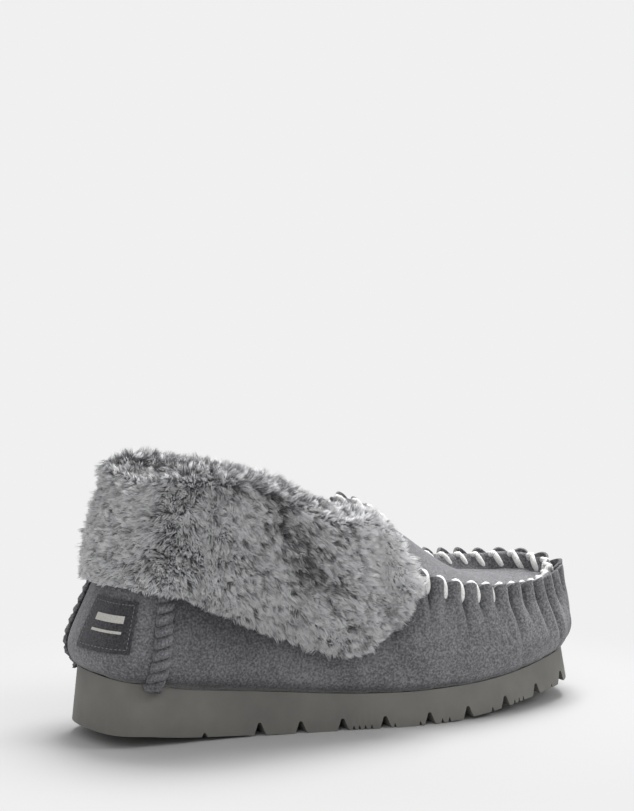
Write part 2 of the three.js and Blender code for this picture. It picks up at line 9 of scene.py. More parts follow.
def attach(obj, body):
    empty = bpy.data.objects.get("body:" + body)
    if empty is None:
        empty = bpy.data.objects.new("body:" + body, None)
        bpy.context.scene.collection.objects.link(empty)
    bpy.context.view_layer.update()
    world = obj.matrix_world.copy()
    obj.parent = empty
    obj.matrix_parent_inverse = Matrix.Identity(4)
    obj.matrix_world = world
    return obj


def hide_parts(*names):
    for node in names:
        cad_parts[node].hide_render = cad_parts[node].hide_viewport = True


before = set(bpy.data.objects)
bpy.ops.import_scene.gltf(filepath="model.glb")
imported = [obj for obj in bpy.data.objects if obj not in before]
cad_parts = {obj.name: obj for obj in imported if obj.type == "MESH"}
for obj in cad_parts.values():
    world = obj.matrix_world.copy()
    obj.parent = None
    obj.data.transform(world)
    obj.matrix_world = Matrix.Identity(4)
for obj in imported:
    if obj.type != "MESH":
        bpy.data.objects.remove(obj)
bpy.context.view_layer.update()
MM = 0.001


def free_hands():
    """Leaves object mode with nothing selected, so that the next operator acts on its own piece only."""
    if bpy.context.object and bpy.context.object.mode != "OBJECT":
        bpy.ops.object.mode_set(mode="OBJECT")
    bpy.ops.object.select_all(action="DESELECT")


def hold(obj):
    free_hands()
    obj.select_set(True)
    bpy.context.view_layer.objects.active = obj


# ---- Camera ----
TARGET = Vector((0, 0, 0.05))
AZIMUTH, ELEVATION, DISTANCE = math.radians(-26), math.radians(11), 1.6
LENS = 140.2
back = Vector(
    (
        math.sin(AZIMUTH) * math.cos(ELEVATION),
        -math.cos(AZIMUTH) * math.cos(ELEVATION),
        math.sin(ELEVATION),
    )
)
free_hands()
bpy.ops.object.camera_add(location=TARGET + back * DISTANCE)
camera = bpy.context.object
camera.data.lens = LENS
camera.data.clip_end = 50
camera.rotation_mode = "QUATERNION"
# The camera looks above the slipper, and a little past it, by this slope each way.
aim = Vector((0.00356, -0.0661, -1)).rotation_difference(Vector((0, 0, -1)))
camera.rotation_quaternion = (-back).to_track_quat("-Z", "Y") @ aim
bpy.context.scene.camera = camera


# ---- Small mathematics ----
def smooth(x, low, high):
    t = np.clip((x - low) / (high - low), 0, 1)
    return t * t * (3 - 2 * t)


def mix(a, b, t):
    return a + (b - a) * t


def unit(v):
    return v / np.maximum(np.linalg.norm(v, axis=-1, keepdims=True), 1e-9)


def profile(pairs):
    """A smooth height over a distance, through [distance, height] pairs."""
    x0, y0 = np.array(pairs, float).T
    last = len(pairs) - 1
    before = np.maximum(np.arange(last + 1) - 1, 0)
    after = np.minimum(np.arange(last + 1) + 1, last)
    slope = (y0[after] - y0[before]) / (x0[after] - x0[before])

    def height(x):
        at = np.clip(x, x0[0], x0[-1])
        i = np.clip(np.searchsorted(x0, at, side="left") - 1, 0, last - 1)
        span = x0[i + 1] - x0[i]
        t = (at - x0[i]) / span
        rise = y0[i + 1] - y0[i]
        a = slope[i] * span - rise
        b = rise - slope[i + 1] * span
        return mix(y0[i], y0[i + 1], t) + t * (1 - t) * ((1 - t) * a + t * b)

    return height


def wander(x, seed):
    """A smooth wandering value from -1 to 1 along one coordinate."""
    slow = np.sin(x + 1.7 * seed)
    middling = 0.7 * np.sin(2.33 * x + 2.9 * seed)
    quick = 0.4 * np.sin(5.1 * x + 0.6 * seed)
    return (slow + middling + quick) / 2.1


# ---- The slipper's driving dimensions ----
SOLE_LENGTH, SOLE_WIDTH = 272, 97
COLLAR_HEIGHT, TOE_BOX_HEIGHT = 124, 64
SOLE_HEEL, SOLE_WAIST, SOLE_TOE = 35, 17.5, 27.5
HEEL_BEVEL, TOE_SPRING, SOLE_FLARE = 7, 10, 2.9
SIDE_OVERHANG, END_OVERHANG, BULGE_HEIGHT = 5, 9, 14
SUEDE, LINING_PILE, COUNTER = 1.8, 7, 1.6
GAP, SHELL_GAP, SEAM_GAP, APRON_GAP, THROAT_RELIEF = 0.3, 0.6, 0.8, 1.8, 0.6
STITCH_PITCH, CORD_RADIUS, STITCH_DEPTH = 10.5, 1.6, 7.6
APRON_DIP, APRON_EDGE = 8, 5.5
GROOVE_DEPTH, GROOVE_WIDTH, GROOVE_PITCH, FIRST_GROOVE, GROOVES = 6, 6.5, 21.7, 108, 9
SOLE_ROUNDING = 1.3
NOTCH_BEFORE, NOTCH_WIDTH, NOTCH_DEPTH, NOTCH_REACH = 31, 4, 2, 10
SLOT_WIDTH, SLOT_DEPTH, SLOT_REACH = 1.6, 2.2, 8
CUTTER_OUT, CUTTER_LOW = 12, 3  # how far a cutting bar stands out beside and below the sole
END_STATIONS = 0.12  # the slabs of the sole end this far from the heel's and the toe's middle
CUFF_PILE_SIDE, CUFF_PILE_HEEL, CUFF_FOLD, CUFF_STANDOFF = 14, 6, 11, 4.4
CUFF_THROAT, CUFF_INNER_THROAT = 6, 2.5
BRAID_WIDTH, BRAID_TOP, BRAID_PITCH, BRAID_OVERLAP = 10, 104, 5.3, 2.5
LABEL_LOW, LABEL_HEIGHT, LABEL_FROM, LABEL_TO = 47, 24, 0.17, 1.3
LABEL_GAP, LABEL_THICKNESS = 0.5, 0.9
HALF_LENGTH, HALF_WIDTH = SOLE_LENGTH / 2, SOLE_WIDTH / 2

# Stations round the foot, from the back of the heel along the outer side to the toe tip and back along the
# inner side: shares of half the length and half the width for the sole's edge, then for the upper's top edge,
# and that edge's height, where 0 is the toe box and 1 the collar.
STATIONS = np.array(
    [
        (-1.0, 0.0, -0.77, 0.0, 0.98),
        (-0.949, -0.6, -0.76, -0.36, 1.0),
        (-0.794, -0.716, -0.68, -0.6, 1.05),
        (-0.456, -0.716, -0.412, -0.66, 0.93),
        (-0.11, -0.87, -0.118, -0.68, 0.62),
        (0.066, -0.97, 0.051, -0.56, 0.55),
        (0.243, -1.03, 0.243, -0.866, 0.17),
        (0.53, -0.975, 0.493, -0.784, 0.02),
        (0.772, -0.73, 0.713, -0.536, -0.03),
        (0.941, -0.388, 0.882, -0.165, -0.04),
        (1.0, 0.247, 0.989, 0.227, 0.0),
        (0.941, 0.7, 0.915, 0.608, 0.05),
        (0.735, 0.948, 0.735, 0.825, 0.04),
        (0.478, 0.97, 0.485, 0.742, 0.13),
        (0.243, 0.897, 0.265, 0.53, 0.54),
        (0.066, 0.825, 0.074, 0.43, 0.7),
        (-0.11, 0.742, -0.103, 0.64, 0.62),
        (-0.456, 0.7, -0.426, 0.64, 0.93),
        (-0.794, 0.68, -0.7, 0.57, 1.04),
        (-0.949, 0.454, -0.768, 0.31, 1.0),
    ]
)
COUNT = len(STATIONS)
OUTER_THROAT, INNER_THROAT, TOE_TIP = 5, 15, 10
OUTER_SEAM, INNER_SEAM = 1.92, -1.0
OUTER_CUFF_SEAM, INNER_CUFF_SEAM = 2.3, -1.4

sole_top = profile(
    [
        (-HALF_LENGTH, SOLE_HEEL),
        (-0.66 * HALF_LENGTH, mix(SOLE_WAIST, SOLE_HEEL, 0.48)),
        (-0.37 * HALF_LENGTH, mix(SOLE_WAIST, SOLE_HEEL, 0.23)),
        (0, SOLE_WAIST),
        (0.37 * HALF_LENGTH, SOLE_WAIST),
        (0.66 * HALF_LENGTH, mix(SOLE_WAIST, SOLE_TOE, 0.33)),
        (HALF_LENGTH, SOLE_TOE),
    ]
)
sole_bottom = profile(
    [
        (-HALF_LENGTH, HEEL_BEVEL),
        (-0.87 * HALF_LENGTH, 0.85 * HEEL_BEVEL),
        (-0.73 * HALF_LENGTH, 0.55 * HEEL_BEVEL),
        (-0.6 * HALF_LENGTH, 0.32 * HEEL_BEVEL),
        (-0.4 * HALF_LENGTH, 0.1 * HEEL_BEVEL),
        (-0.25 * HALF_LENGTH, 0),
        (-0.15 * HALF_LENGTH, 0),
        (0.06 * HALF_LENGTH, 0),
        (0.12 * HALF_LENGTH, 0),
        (0.37 * HALF_LENGTH, 0.1 * TOE_SPRING),
        (0.66 * HALF_LENGTH, 0.55 * TOE_SPRING),
        (HALF_LENGTH, TOE_SPRING),
    ]
)
EDGE = np.column_stack([STATIONS[:, 0] * HALF_LENGTH, STATIONS[:, 1] * HALF_WIDTH, np.zeros(COUNT)])
RIM = np.column_stack(
    [
        STATIONS[:, 2] * HALF_LENGTH,
        STATIONS[:, 3] * HALF_WIDTH,
        mix(TOE_BOX_HEIGHT, COLLAR_HEIGHT, STATIONS[:, 4]),
    ]
)


def curve_at(points, station):
    """A smooth closed curve through the points, one for each station."""
    station = np.asarray(station, float) % COUNT
    i = np.floor(station).astype(int)
    t = (station - i)[..., None]
    p0, p1, p2, p3 = (points[(i + k) % COUNT] for k in (-1, 0, 1, 2))
    m1, m2 = 0.5 * (p2 - p0), 0.5 * (p3 - p1)
    return p1 + m1 * t + (-3 * p1 + 3 * p2 - 2 * m1 - m2) * t**2 + (2 * p1 - 2 * p2 + m1 + m2) * t**3


def outward(station):
    ahead = curve_at(EDGE, station + 0.002) - curve_at(EDGE, station - 0.002)
    return unit(np.stack([ahead[..., 1], -ahead[..., 0], np.zeros_like(ahead[..., 0])], -1))


def edge(station, inset):
    return curve_at(EDGE, station) - outward(station) * np.asarray(inset)[..., None]


def skin(station, v):
    """The upper's outer surface: v is 0 at the sole's top edge and 1 at the upper's top edge."""
    station, v = np.broadcast_arrays(np.asarray(station, float), np.asarray(v, float))
    foot = edge(station, SOLE_FLARE + 0.4)
    foot[..., 2] = sole_top(foot[..., 0]) + GAP
    rim = curve_at(RIM, station)
    endness = (np.abs(foot[..., 0]) / HALF_LENGTH) ** 4
    overhang = mix(SIDE_OVERHANG, END_OVERHANG, endness)
    peak = v * (rim[..., 2] - foot[..., 2]) / BULGE_HEIGHT
    bulge = overhang * peak * np.exp(1 - peak)
    return mix(foot, rim, v[..., None]) + outward(station) * bulge[..., None]


def skin_normal(station, v):
    along = skin(station + 0.02, v) - skin(station - 0.02, v)
    upward = skin(station, np.minimum(v + 0.01, 1)) - skin(station, np.maximum(v - 0.01, 0))
    return unit(np.cross(along, upward))


def under(station, v, depth):
    station, v, depth = np.broadcast_arrays(*(np.asarray(a, float) for a in (station, v, depth)))
    return skin(station, v) - skin_normal(station, v) * depth[..., None]


def share_at(station, height):
    low, high = skin(station, 0)[..., 2], skin(station, 1)[..., 2]
    return (height - low) / (high - low)


# ---- Making pieces ----
def finish_piece(obj, name, material, slot, *nodes, flat_above=None):
    """Names a made piece, gives it its material and lets it stand for its frame solids."""
    hold(obj)
    obj.name = name
    obj.data.name = name
    obj.data.materials.clear()
    obj.data.materials.append(material)
    if flat_above is None:
        bpy.ops.object.shade_smooth()
    else:
        bpy.ops.object.shade_smooth_by_angle(angle=math.radians(flat_above))
    bpy.ops.object.transform_apply(location=True, rotation=True, scale=True)
    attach(obj, "root")
    if nodes:
        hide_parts(*nodes)
    free_hands()
    return obj


def points_of(obj):
    flat = np.empty(len(obj.data.vertices) * 3)
    obj.data.vertices.foreach_get("co", flat)
    return flat.reshape(-1, 3)


def placed(name, data):
    obj = bpy.data.objects.new(name, data)
    bpy.context.scene.collection.objects.link(obj)
    return obj


def move_points(obj, points):
    obj.data.vertices.foreach_set("co", np.asarray(points, float).ravel())
    obj.data.update()


def extrude_face(run):
    """Turns the flat active piece into a closed solid, reaching from it by the given run in metres."""
    bpy.ops.object.mode_set(mode="EDIT")
    bpy.ops.mesh.select_all(action="SELECT")
    bpy.ops.mesh.extrude_region_move(TRANSFORM_OT_translate={"value": run})
    bpy.ops.mesh.select_all(action="SELECT")
    bpy.ops.mesh.normals_make_consistent(inside=False)
    bpy.ops.object.mode_set(mode="OBJECT")


def bent_slab(nu, nv, place, shade=None):
    """A closed slab of nu by nv cells, bent so that its point (u, v, w) lies at place(u, v, w) in millimetres.
    shade(u, v) is painted shade, kept on the points as the point attribute that the suede multiplies in."""
    free_hands()
    bpy.ops.mesh.primitive_grid_add(x_subdivisions=nu, y_subdivisions=nv, size=1, location=(0, 0, 0))
    slab = bpy.context.object
    extrude_face((0, 0, 1))
    at = points_of(slab)
    u, v, w = at[:, 0] + 0.5, at[:, 1] + 0.5, np.round(at[:, 2])
    move_points(slab, place(u, v, w) * MM)
    if volume_of(slab) < 0:
        slab.data.flip_normals()
    if shade is not None:
        layer = slab.data.attributes.new("painted_shade", "FLOAT", "POINT")
        layer.data.foreach_set("value", np.asarray(shade(u, v), np.float32))
    return slab


def volume_of(obj):
    obj.data.calc_loop_triangles()
    corners = np.empty(len(obj.data.loop_triangles) * 3, int)
    obj.data.loop_triangles.foreach_get("vertices", corners)
    a, b, c = points_of(obj)[corners].reshape(-1, 3, 3).transpose(1, 0, 2)
    return float(np.einsum("ij,ij->i", a, np.cross(b, c)).sum())


def bevel_edges(obj, width, segments, angle):
    rounding = obj.modifiers.new("rounding", "BEVEL")
    rounding.width = width * MM
    rounding.segments = segments
    rounding.limit_method = "ANGLE"
    rounding.angle_limit = math.radians(angle)
    bpy.context.view_layer.objects.active = obj
    bpy.ops.object.modifier_apply(modifier=rounding.name)


# ---- Materials ----
def linear(colour):
    """An sRGB hex colour as linear values."""
    channels = [int(colour[i : i + 2], 16) / 255 for i in (1, 3, 5)]
    return tuple(c / 12.92 if c <= 0.04045 else ((c + 0.055) / 1.055) ** 2.4 for c in channels) + (1.0,)


def add_node(tree, kind, settings=None, links=None):
    """Adds one node: settings are properties, unlinked inputs or a ramp's stops; links are linked inputs."""
    node = tree.nodes.new(kind)
    for key, value in (settings or {}).items():
        if key == "stops":
            for i, (place, colour) in enumerate(value):
                stop = node.color_ramp.elements[i] if i < 2 else node.color_ramp.elements.new(place)
                stop.position = place
                stop.color = linear(colour)
        elif isinstance(key, str) and hasattr(node, key):
            setattr(node, key, value)
        else:
            node.inputs[key].default_value = value
    for key, socket in (links or {}).items():
        tree.links.new(socket, node.inputs[key])
    return node


def new_material(name):
    material = bpy.data.materials.new(name)
    material.use_nodes = True
    tree = material.node_tree
    return material, tree, tree.nodes["Principled BSDF"]


def set_inputs(shader, values):
    for name, value in values.items():
        shader.inputs[name].default_value = value


def per_metre(size):
    """The scale of a pattern whose features measure size millimetres."""
    return 1000 / size


def brushed_suede(name, dark, mid, light, grain=1.0):
    """Split leather buffed to a nap: matt, with a grain of short brushed fibres and cloudy patches where the
    nap lies another way. Painted shade is multiplied in from a point attribute: down in the gathers, along
    the seams and the foot by the sole, in the grooves of the braids, and as a painted shadow under the cuff."""
    material, tree, shader = new_material(name)
    place = add_node(tree, "ShaderNodeTexCoord").outputs["Object"]
    nap = add_node(
        tree,
        "ShaderNodeTexNoise",
        {"Scale": per_metre(1.1 * grain), "Detail": 4.0, "Roughness": 0.6},
        {"Vector": place},
    )
    fleck = add_node(
        tree, "ShaderNodeTexNoise", {"Scale": per_metre(0.8 * grain), "Detail": 3.0}, {"Vector": place}
    )
    cloud = add_node(tree, "ShaderNodeTexNoise", {"Scale": per_metre(24), "Detail": 3.0}, {"Vector": place})
    patches = add_node(
        tree, "ShaderNodeMath", {"operation": "MULTIPLY", 1: 0.22}, {0: cloud.outputs["Fac"]}
    )
    both = add_node(
        tree,
        "ShaderNodeMath",
        {"operation": "MULTIPLY_ADD", 1: 0.78},
        {0: nap.outputs["Fac"], 2: patches.outputs[0]},
    )
    stops = [(0.38, dark), (0.62, light), (0.5, mid)]
    tone = add_node(tree, "ShaderNodeValToRGB", {"stops": stops}, {"Fac": both.outputs[0]})
    # Painted shade: the point attribute read here darkens the suede towards #6E6E70 in creases, seams and
    # under the cuff.
    painted_shade = add_node(tree, "ShaderNodeAttribute", {"attribute_name": "painted_shade"})
    shaded = add_node(
        tree,
        "ShaderNodeMix",
        {"data_type": "RGBA", "blend_type": "MULTIPLY", 7: linear("#6E6E70")},
        {"Factor": painted_shade.outputs["Fac"], 6: tone.outputs["Color"]},
    )
    tree.links.new(shaded.outputs[2], shader.inputs["Base Color"])
    flecks = add_node(tree, "ShaderNodeMath", {"operation": "MULTIPLY", 1: 0.4}, {0: fleck.outputs["Fac"]})
    rough = add_node(
        tree,
        "ShaderNodeMath",
        {"operation": "MULTIPLY_ADD", 1: 0.6},
        {0: nap.outputs["Fac"], 2: flecks.outputs[0]},
    )
    bump = add_node(
        tree, "ShaderNodeBump", {"Strength": 0.75, "Distance": 0.0005}, {"Height": rough.outputs[0]}
    )
    tree.links.new(bump.outputs["Normal"], shader.inputs["Normal"])
    set_inputs(
        shader,
        {"Roughness": 0.95, "Specular IOR Level": 0.15, "Sheen Weight": 0.25, "Sheen Roughness": 0.5},
    )
    return material


def sheepskin_wool(name, root, mid, tip):
    """Dyed sheepskin pile: each lock goes from dark roots, painted shade deep in the pile, to pale tips, and
    no two locks are quite alike.
    """
    material, tree, shader = new_material(name)
    lock = add_node(tree, "ShaderNodeUVMap", {"uv_map": "lock"}).outputs["UV"]
    parts = add_node(tree, "ShaderNodeSeparateXYZ", links={"Vector": lock})
    # Along each lock: dark at the root as painted shade deep in the pile, pale at the tip.
    stops = [(0.0, root), (1.0, tip), (0.45, mid)]
    along = add_node(tree, "ShaderNodeValToRGB", {"stops": stops}, {"Fac": parts.outputs["Y"]})
    stops = [(0.0, "#4C4C4E"), (1.0, "#FFFFFF"), (0.45, "#EBEBEC")]
    own = add_node(tree, "ShaderNodeValToRGB", {"stops": stops}, {"Fac": parts.outputs["X"]})
    toned = add_node(
        tree,
        "ShaderNodeMix",
        {"data_type": "RGBA", "blend_type": "MULTIPLY", "Factor": 1.0},
        {6: along.outputs["Color"], 7: own.outputs["Color"]},
    )
    tree.links.new(toned.outputs[2], shader.inputs["Base Color"])
    set_inputs(shader, {"Roughness": 0.8, "Specular IOR Level": 0.25, "Sheen Weight": 0.2})
    return material


def mottled(name, dark, light, size, detail, strength, depth, bump_size=None, full=0.7):
    """Any matt stuff with one mottle and one grain, sized in millimetres; from full on it is palest."""
    material, tree, shader = new_material(name)
    place = add_node(tree, "ShaderNodeTexCoord").outputs["Object"]
    scale = per_metre(size)
    mottle = add_node(tree, "ShaderNodeTexNoise", {"Scale": scale, "Detail": detail}, {"Vector": place})
    tone = add_node(
        tree, "ShaderNodeValToRGB", {"stops": [(0.3, dark), (full, light)]}, {"Fac": mottle.outputs["Fac"]}
    )
    tree.links.new(tone.outputs["Color"], shader.inputs["Base Color"])
    grain = mottle
    if bump_size:
        grain = add_node(tree, "ShaderNodeTexNoise", {"Scale": per_metre(bump_size)}, {"Vector": place})
    bump = add_node(
        tree,
        "ShaderNodeBump",
        {"Strength": strength, "Distance": depth * MM},
        {"Height": grain.outputs["Fac"]},
    )
    tree.links.new(bump.outputs["Normal"], shader.inputs["Normal"])
    return material, shader


def sheepskin_hide(name, colour, dark):
    """The felted ground of the pile, seen only between the locks."""
    material, shader = mottled(name, dark, colour, 2.5, 4.0, 0.9, 1.0)
    set_inputs(shader, {"Roughness": 1.0, "Sheen Weight": 0.3})
    return material


def moulded_eva(name, dark, light):
    """Compression-moulded EVA foam: a satin skin with the faint mottle of the mould and fine pores."""
    material, shader = mottled(name, dark, light, 18, 4.0, 0.35, 0.2, bump_size=0.9)
    set_inputs(shader, {"Roughness": 0.62, "Specular IOR Level": 0.35})
    return material


def spun_thread(name, colour, light, roughness, twist):
    """Twisted yarn, waxed or plain: fine plies show as a grain at the size of one twist."""
    material, shader = mottled(name, colour, light, twist, 3.0, 0.5, 0.3, full=0.6)
    shader.inputs["Roughness"].default_value = roughness
    return material


def plain_stuff(name, dark, light, size, roughness):
    """Board, foam, print or tape: a fibrous grain of the given size in millimetres."""
    material, shader = mottled(name, dark, light, size, 4.0, 0.5, 0.3)
    shader.inputs["Roughness"].default_value = roughness
    return material


suede_upper = brushed_suede("brushed suede, upper", "#525255", "#6E6E71", "#8A8A8E")
suede_strip = brushed_suede("cut suede strip, braids", "#505054", "#6B6B6F", "#88888C")
suede_patch = brushed_suede("charcoal suede patch", "#343438", "#444448", "#545458", grain=0.9)
cuff_wool = sheepskin_wool("long sheepskin pile, cuff", "#48484B", "#E6E6E8", "#FFFFFF")
lining_wool = sheepskin_wool("clipped sheepskin pile, lining", "#6A6A6D", "#B0B0B2", "#E0E0E2")
hide = sheepskin_hide("felted wool ground", "#5A5A5D", "#39393C")
eva = moulded_eva("moulded EVA foam", "#6A6966", "#75746F")
waxed_cord = spun_thread("waxed cotton cord", "#D4D4D2", "#F4F4F2", 0.5, 0.9)
dark_thread = spun_thread("grey polyester thread", "#5A5A5E", "#7C7C80", 0.6, 0.5)
pale_print = plain_stuff("pale woven bars", "#B4B2AC", "#D2D0CA", 0.6, 0.8)
fibre_board = plain_stuff("fibre board", "#9C8459", "#B79B74", 1.5, 0.95)
cushion_foam = plain_stuff("cushioning foam", "#D2D0C9", "#E0DED8", 1.2, 0.95)
stiff_board = plain_stuff("stiffener board", "#BDB6A6", "#CFC9BC", 1.2, 0.9)
cotton_tape = plain_stuff("woven cotton tape", "#9C9C99", "#B4B4B1", 0.7, 0.9)

for node, material in (
    ("insole_board", fibre_board),
    ("footbed_foam", cushion_foam),
    ("heel_counter", stiff_board),
    ("topline_tape", cotton_tape),
):
    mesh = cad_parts[node].data
    mesh.materials.clear()
    mesh.materials.append(material)

# ---- Lacing path ----
LACING_FROM, LACING_TO = OUTER_THROAT + 0.25, INNER_THROAT - 0.1
rail = np.linspace(LACING_FROM, LACING_TO, 601)
rail_steps = np.linalg.norm(np.diff(curve_at(RIM, rail), axis=0), axis=1)
walked = np.concatenate([[0], np.cumsum(rail_steps)])
STITCHES = round(walked[-1] / STITCH_PITCH)
PLEAT_SHORT, PLEAT_LONG, PLEAT_SHALLOW, PLEAT_DEEP = 10, 21, 3.6, 6.4


def turns_at(station):
    """How many stitches lie before a station on the laced edge."""
    return np.interp(station, rail, walked) / walked[-1] * STITCHES


def gather(station, v):
    """How far the suede stands out (+) or is drawn in (-) by the lacing, its rise, and the painted shade in
    its gathers.
    """
    turns = turns_at(station)
    number = np.round(turns)
    begun = smooth(station, LACING_FROM - 0.25, LACING_FROM + 0.05)
    ended = smooth(station, LACING_TO - 0.05, LACING_TO + 0.25)
    laced = begun * (1 - ended)
    toe = smooth(station, 7, 8.6) * (1 - smooth(station, 11.6, 13))
    height = skin(station, 1)[..., 2] - skin(station, 0)[..., 2]
    below = (1 - v) * height
    own = 0.5 + 0.5 * np.sin(number * 2.4 + 1.0)
    reach = mix(PLEAT_SHORT, PLEAT_LONG, own) + 3 * toe
    slant = 0.045 * np.sin(number * 1.9) * smooth(below, 6, 25)
    between = np.abs(np.sin(np.pi * (turns + slant)))
    lobe = between**0.5
    fade = np.exp(-((below / reach) ** 1.8))
    depth = mix(PLEAT_SHALLOW, PLEAT_DEEP, toe)
    pinch = np.exp(-(((below - STITCH_DEPTH) / 4.5) ** 2))
    out = laced * (fade * (lobe - 0.66) * depth - pinch * (1 - between) * 1.4)
    lip = np.exp(-((below / 5.0) ** 2))
    out = out + laced * lip * (lobe - 0.35) * 1.0
    far = smooth(station, 11, 12.5)
    rise = laced * lip * ((lobe - 0.5) * mix(3.4, 7.0, far))
    ripple = wander(station * 9 + v * 5, 3) * 0.3 * (1 - fade)
    # Painted shade in the valleys between the lobes, where the lacing draws the suede in.
    shade = laced * fade * np.clip(1 - lobe * 1.15, 0, 1)
    return out + ripple, rise, shade


def wall_point(station, v, depth):
    out, rise, _ = gather(station, v)
    p = under(station, v, depth - out)
    p[:, 2] += rise
    return p


HEEL_STATION = float(np.linalg.norm(edge(OUTER_SEAM - 0.5, 0) - edge(OUTER_SEAM + 0.5, 0)))
HALF_SEAM = SEAM_GAP / 2 / HEEL_STATION
WALL_FROM, WALL_TO = OUTER_SEAM + HALF_SEAM, COUNT + INNER_SEAM - HALF_SEAM
HEEL_FROM, HEEL_TO = INNER_SEAM + HALF_SEAM, OUTER_SEAM - HALF_SEAM

wall = bent_slab(
    560,
    58,
    lambda u, v, w: wall_point(mix(WALL_FROM, WALL_TO, u), v**0.85, mix(SUEDE, 0, w)),
    # Painted shade: in the gathers, along the foot of the wall by the sole, and a painted shadow of the cuff
    # on the outer side from the heel seam towards the throat.
    lambda u, v: gather(mix(WALL_FROM, WALL_TO, u), v**0.85)[2]
    + 0.6 * (1 - smooth(v, 0.0, 0.05))
    + 0.35 * (1 - smooth(mix(WALL_FROM, WALL_TO, u), 4.2, 6.2)) * smooth(v, 0.05, 0.3),
)
finish_piece(wall, "gathered_wall", suede_upper, "suede", "vamp_wall")

heel = bent_slab(
    110,
    58,
    lambda u, v, w: under(
        mix(HEEL_FROM, HEEL_TO, u),
        v,
        mix(SUEDE, 0, w) - 0.3 * wander(u * 14 + v * 6, 2),
    ),
    # Painted shade along the foot of the panel by the sole and along its two seams.
    lambda u, v: 0.6 * (1 - smooth(v, 0.0, 0.05)) + 0.5 * (1 - smooth(np.minimum(u, 1 - u), 0.0, 0.05)),
)
finish_piece(heel, "heel_suede", suede_upper, "suede", "heel_panel")

# ---- Apron and tongue ----
TOE_ARC = 0.62
APRON_ACROSS, APRON_LONG = 66, 135
apron_crown = profile([(0, 10.5), (0.12, 11), (0.3, 10), (0.45, 7.5), (0.6, 3.5), (0.8, 1.5), (1, 1)])


def seam_point(station):
    from_throat = np.minimum(np.abs(station - OUTER_THROAT), np.abs(station - INNER_THROAT))
    return under(station, 1, SUEDE + APRON_GAP + THROAT_RELIEF * (1 - smooth(from_throat, 0, 0.8)))


def apron_patch(s, t, edge_share):
    def at(value):
        return np.full_like(s, value)

    outer = seam_point(mix(OUTER_THROAT, TOE_TIP - TOE_ARC, s))
    inner = seam_point(mix(INNER_THROAT, TOE_TIP + TOE_ARC, s))
    s1, t1 = s[:, None], t[:, None]
    top = mix(seam_point(at(OUTER_THROAT)), seam_point(at(INNER_THROAT)), t1)
    toe = seam_point(mix(TOE_TIP - TOE_ARC, TOE_TIP + TOE_ARC, t))
    far = mix(seam_point(at(TOE_TIP - TOE_ARC)), seam_point(at(TOE_TIP + TOE_ARC)), t1)
    p = mix(outer, inner, t1) + mix(top, toe, s1) - mix(top, far, s1)
    p[:, 2] += apron_crown(s) * np.sin(np.pi * np.clip(t, 0, 1)) ** 0.8 - APRON_DIP * edge_share
    return p


def apron_point(u, v, inset):
    hem = inset / APRON_ACROSS
    t = mix(hem, 1 - hem, (1 - np.cos(np.pi * v)) / 2)
    s = (1 - inset / APRON_LONG) * mix(u, np.sin(np.pi * u / 2), 0.6)
    from_edge = np.minimum(np.minimum(t, 1 - t) * APRON_ACROSS, (1 - s) * APRON_LONG)
    return apron_patch(s, t, smooth(from_edge, 0, APRON_EDGE))


def apron_normal(u, v, inset):
    along = apron_point(np.minimum(u + 0.01, 1), v, inset) - apron_point(np.maximum(u - 0.01, 0), v, inset)
    across = apron_point(u, np.minimum(v + 0.01, 1), inset) - apron_point(u, np.maximum(v - 0.01, 0), inset)
    return unit(np.cross(along, across))


def apron_sheet(u, v, w, inset, low, high):
    depth = mix(low, high, w) + 0.25 * wander(u * 9 + v * 4, 5)
    return apron_point(u, v, inset) + apron_normal(u, v, inset) * depth[:, None]


apron = bent_slab(150, 90, lambda u, v, w: apron_sheet(u, v, w, 0, 0, SUEDE))
finish_piece(apron, "apron_suede", suede_upper, "suede", "apron")


# ---- Lacing cord ----
def lacing_path(steps):
    halfspan = (2 * SUEDE + APRON_GAP) / 2
    wide, high = halfspan + CORD_RADIUS + 0.3, (STITCH_DEPTH + CORD_RADIUS + 0.9) / 2
    turn = np.arange(STITCHES * steps + 1) / steps
    phase = turn - np.floor(turn)
    advance = np.where(phase < 0.5, 0.15 * phase, 0.075 + 1.85 * (phase - 0.5))
    distance = np.minimum((np.floor(turn) + advance) / STITCHES, 1) * walked[-1]
    station = np.interp(walked[-1] - distance, walked, rail)
    out = skin_normal(station, 1)
    hole = np.interp((1 - np.round(turn) / STITCHES) * walked[-1], walked, rail)
    drawn = gather(hole, np.ones_like(station))[0]
    vertical = np.array([0, 0, 1.0])
    rise = unit(vertical - out * out[:, 2:3])
    angle = 2 * np.pi * phase - np.pi / 2
    centre = skin(station, 1) - out * halfspan + rise * (high - STITCH_DEPTH)
    side = wide * np.cos(angle)
    sunk = 0.7 + 1.5 * smooth(station, 6.6, 7.6) * (1 - smooth(station, 11.2, 12.4))
    side = np.where(side > 0, side + drawn * 0.8 - sunk * np.cos(angle), side)
    return centre + out * side[:, None] + rise * (high * np.sin(angle) - 0.5)[:, None]


def cord_piece(name, path, radius, material, slot, *nodes):
    """A cord along a path, as a swept round section."""
    data = bpy.data.curves.new(name, "CURVE")
    data.dimensions = "3D"
    data.bevel_depth = radius * MM
    data.bevel_resolution = 3
    data.use_fill_caps = True
    spline = data.splines.new("POLY")
    spline.points.add(len(path) - 1)
    spline.points.foreach_set("co", np.column_stack([path * MM, np.ones(len(path))]).ravel())
    hold(placed(name, data))
    bpy.ops.object.convert(target="MESH")
    return finish_piece(bpy.context.object, name, material, slot, *nodes)


cord_piece("white_lacing", lacing_path(18), CORD_RADIUS, waxed_cord, "lacing_cord", "apron_lacing")


# ---- Outsole ----
def sole_reach(u):
    """Stations from the heel to the toe, closer together at both ends."""
    return mix(END_STATIONS, TOE_TIP - END_STATIONS, mix(u, (1 - np.cos(np.pi * u)) / 2, 0.5))


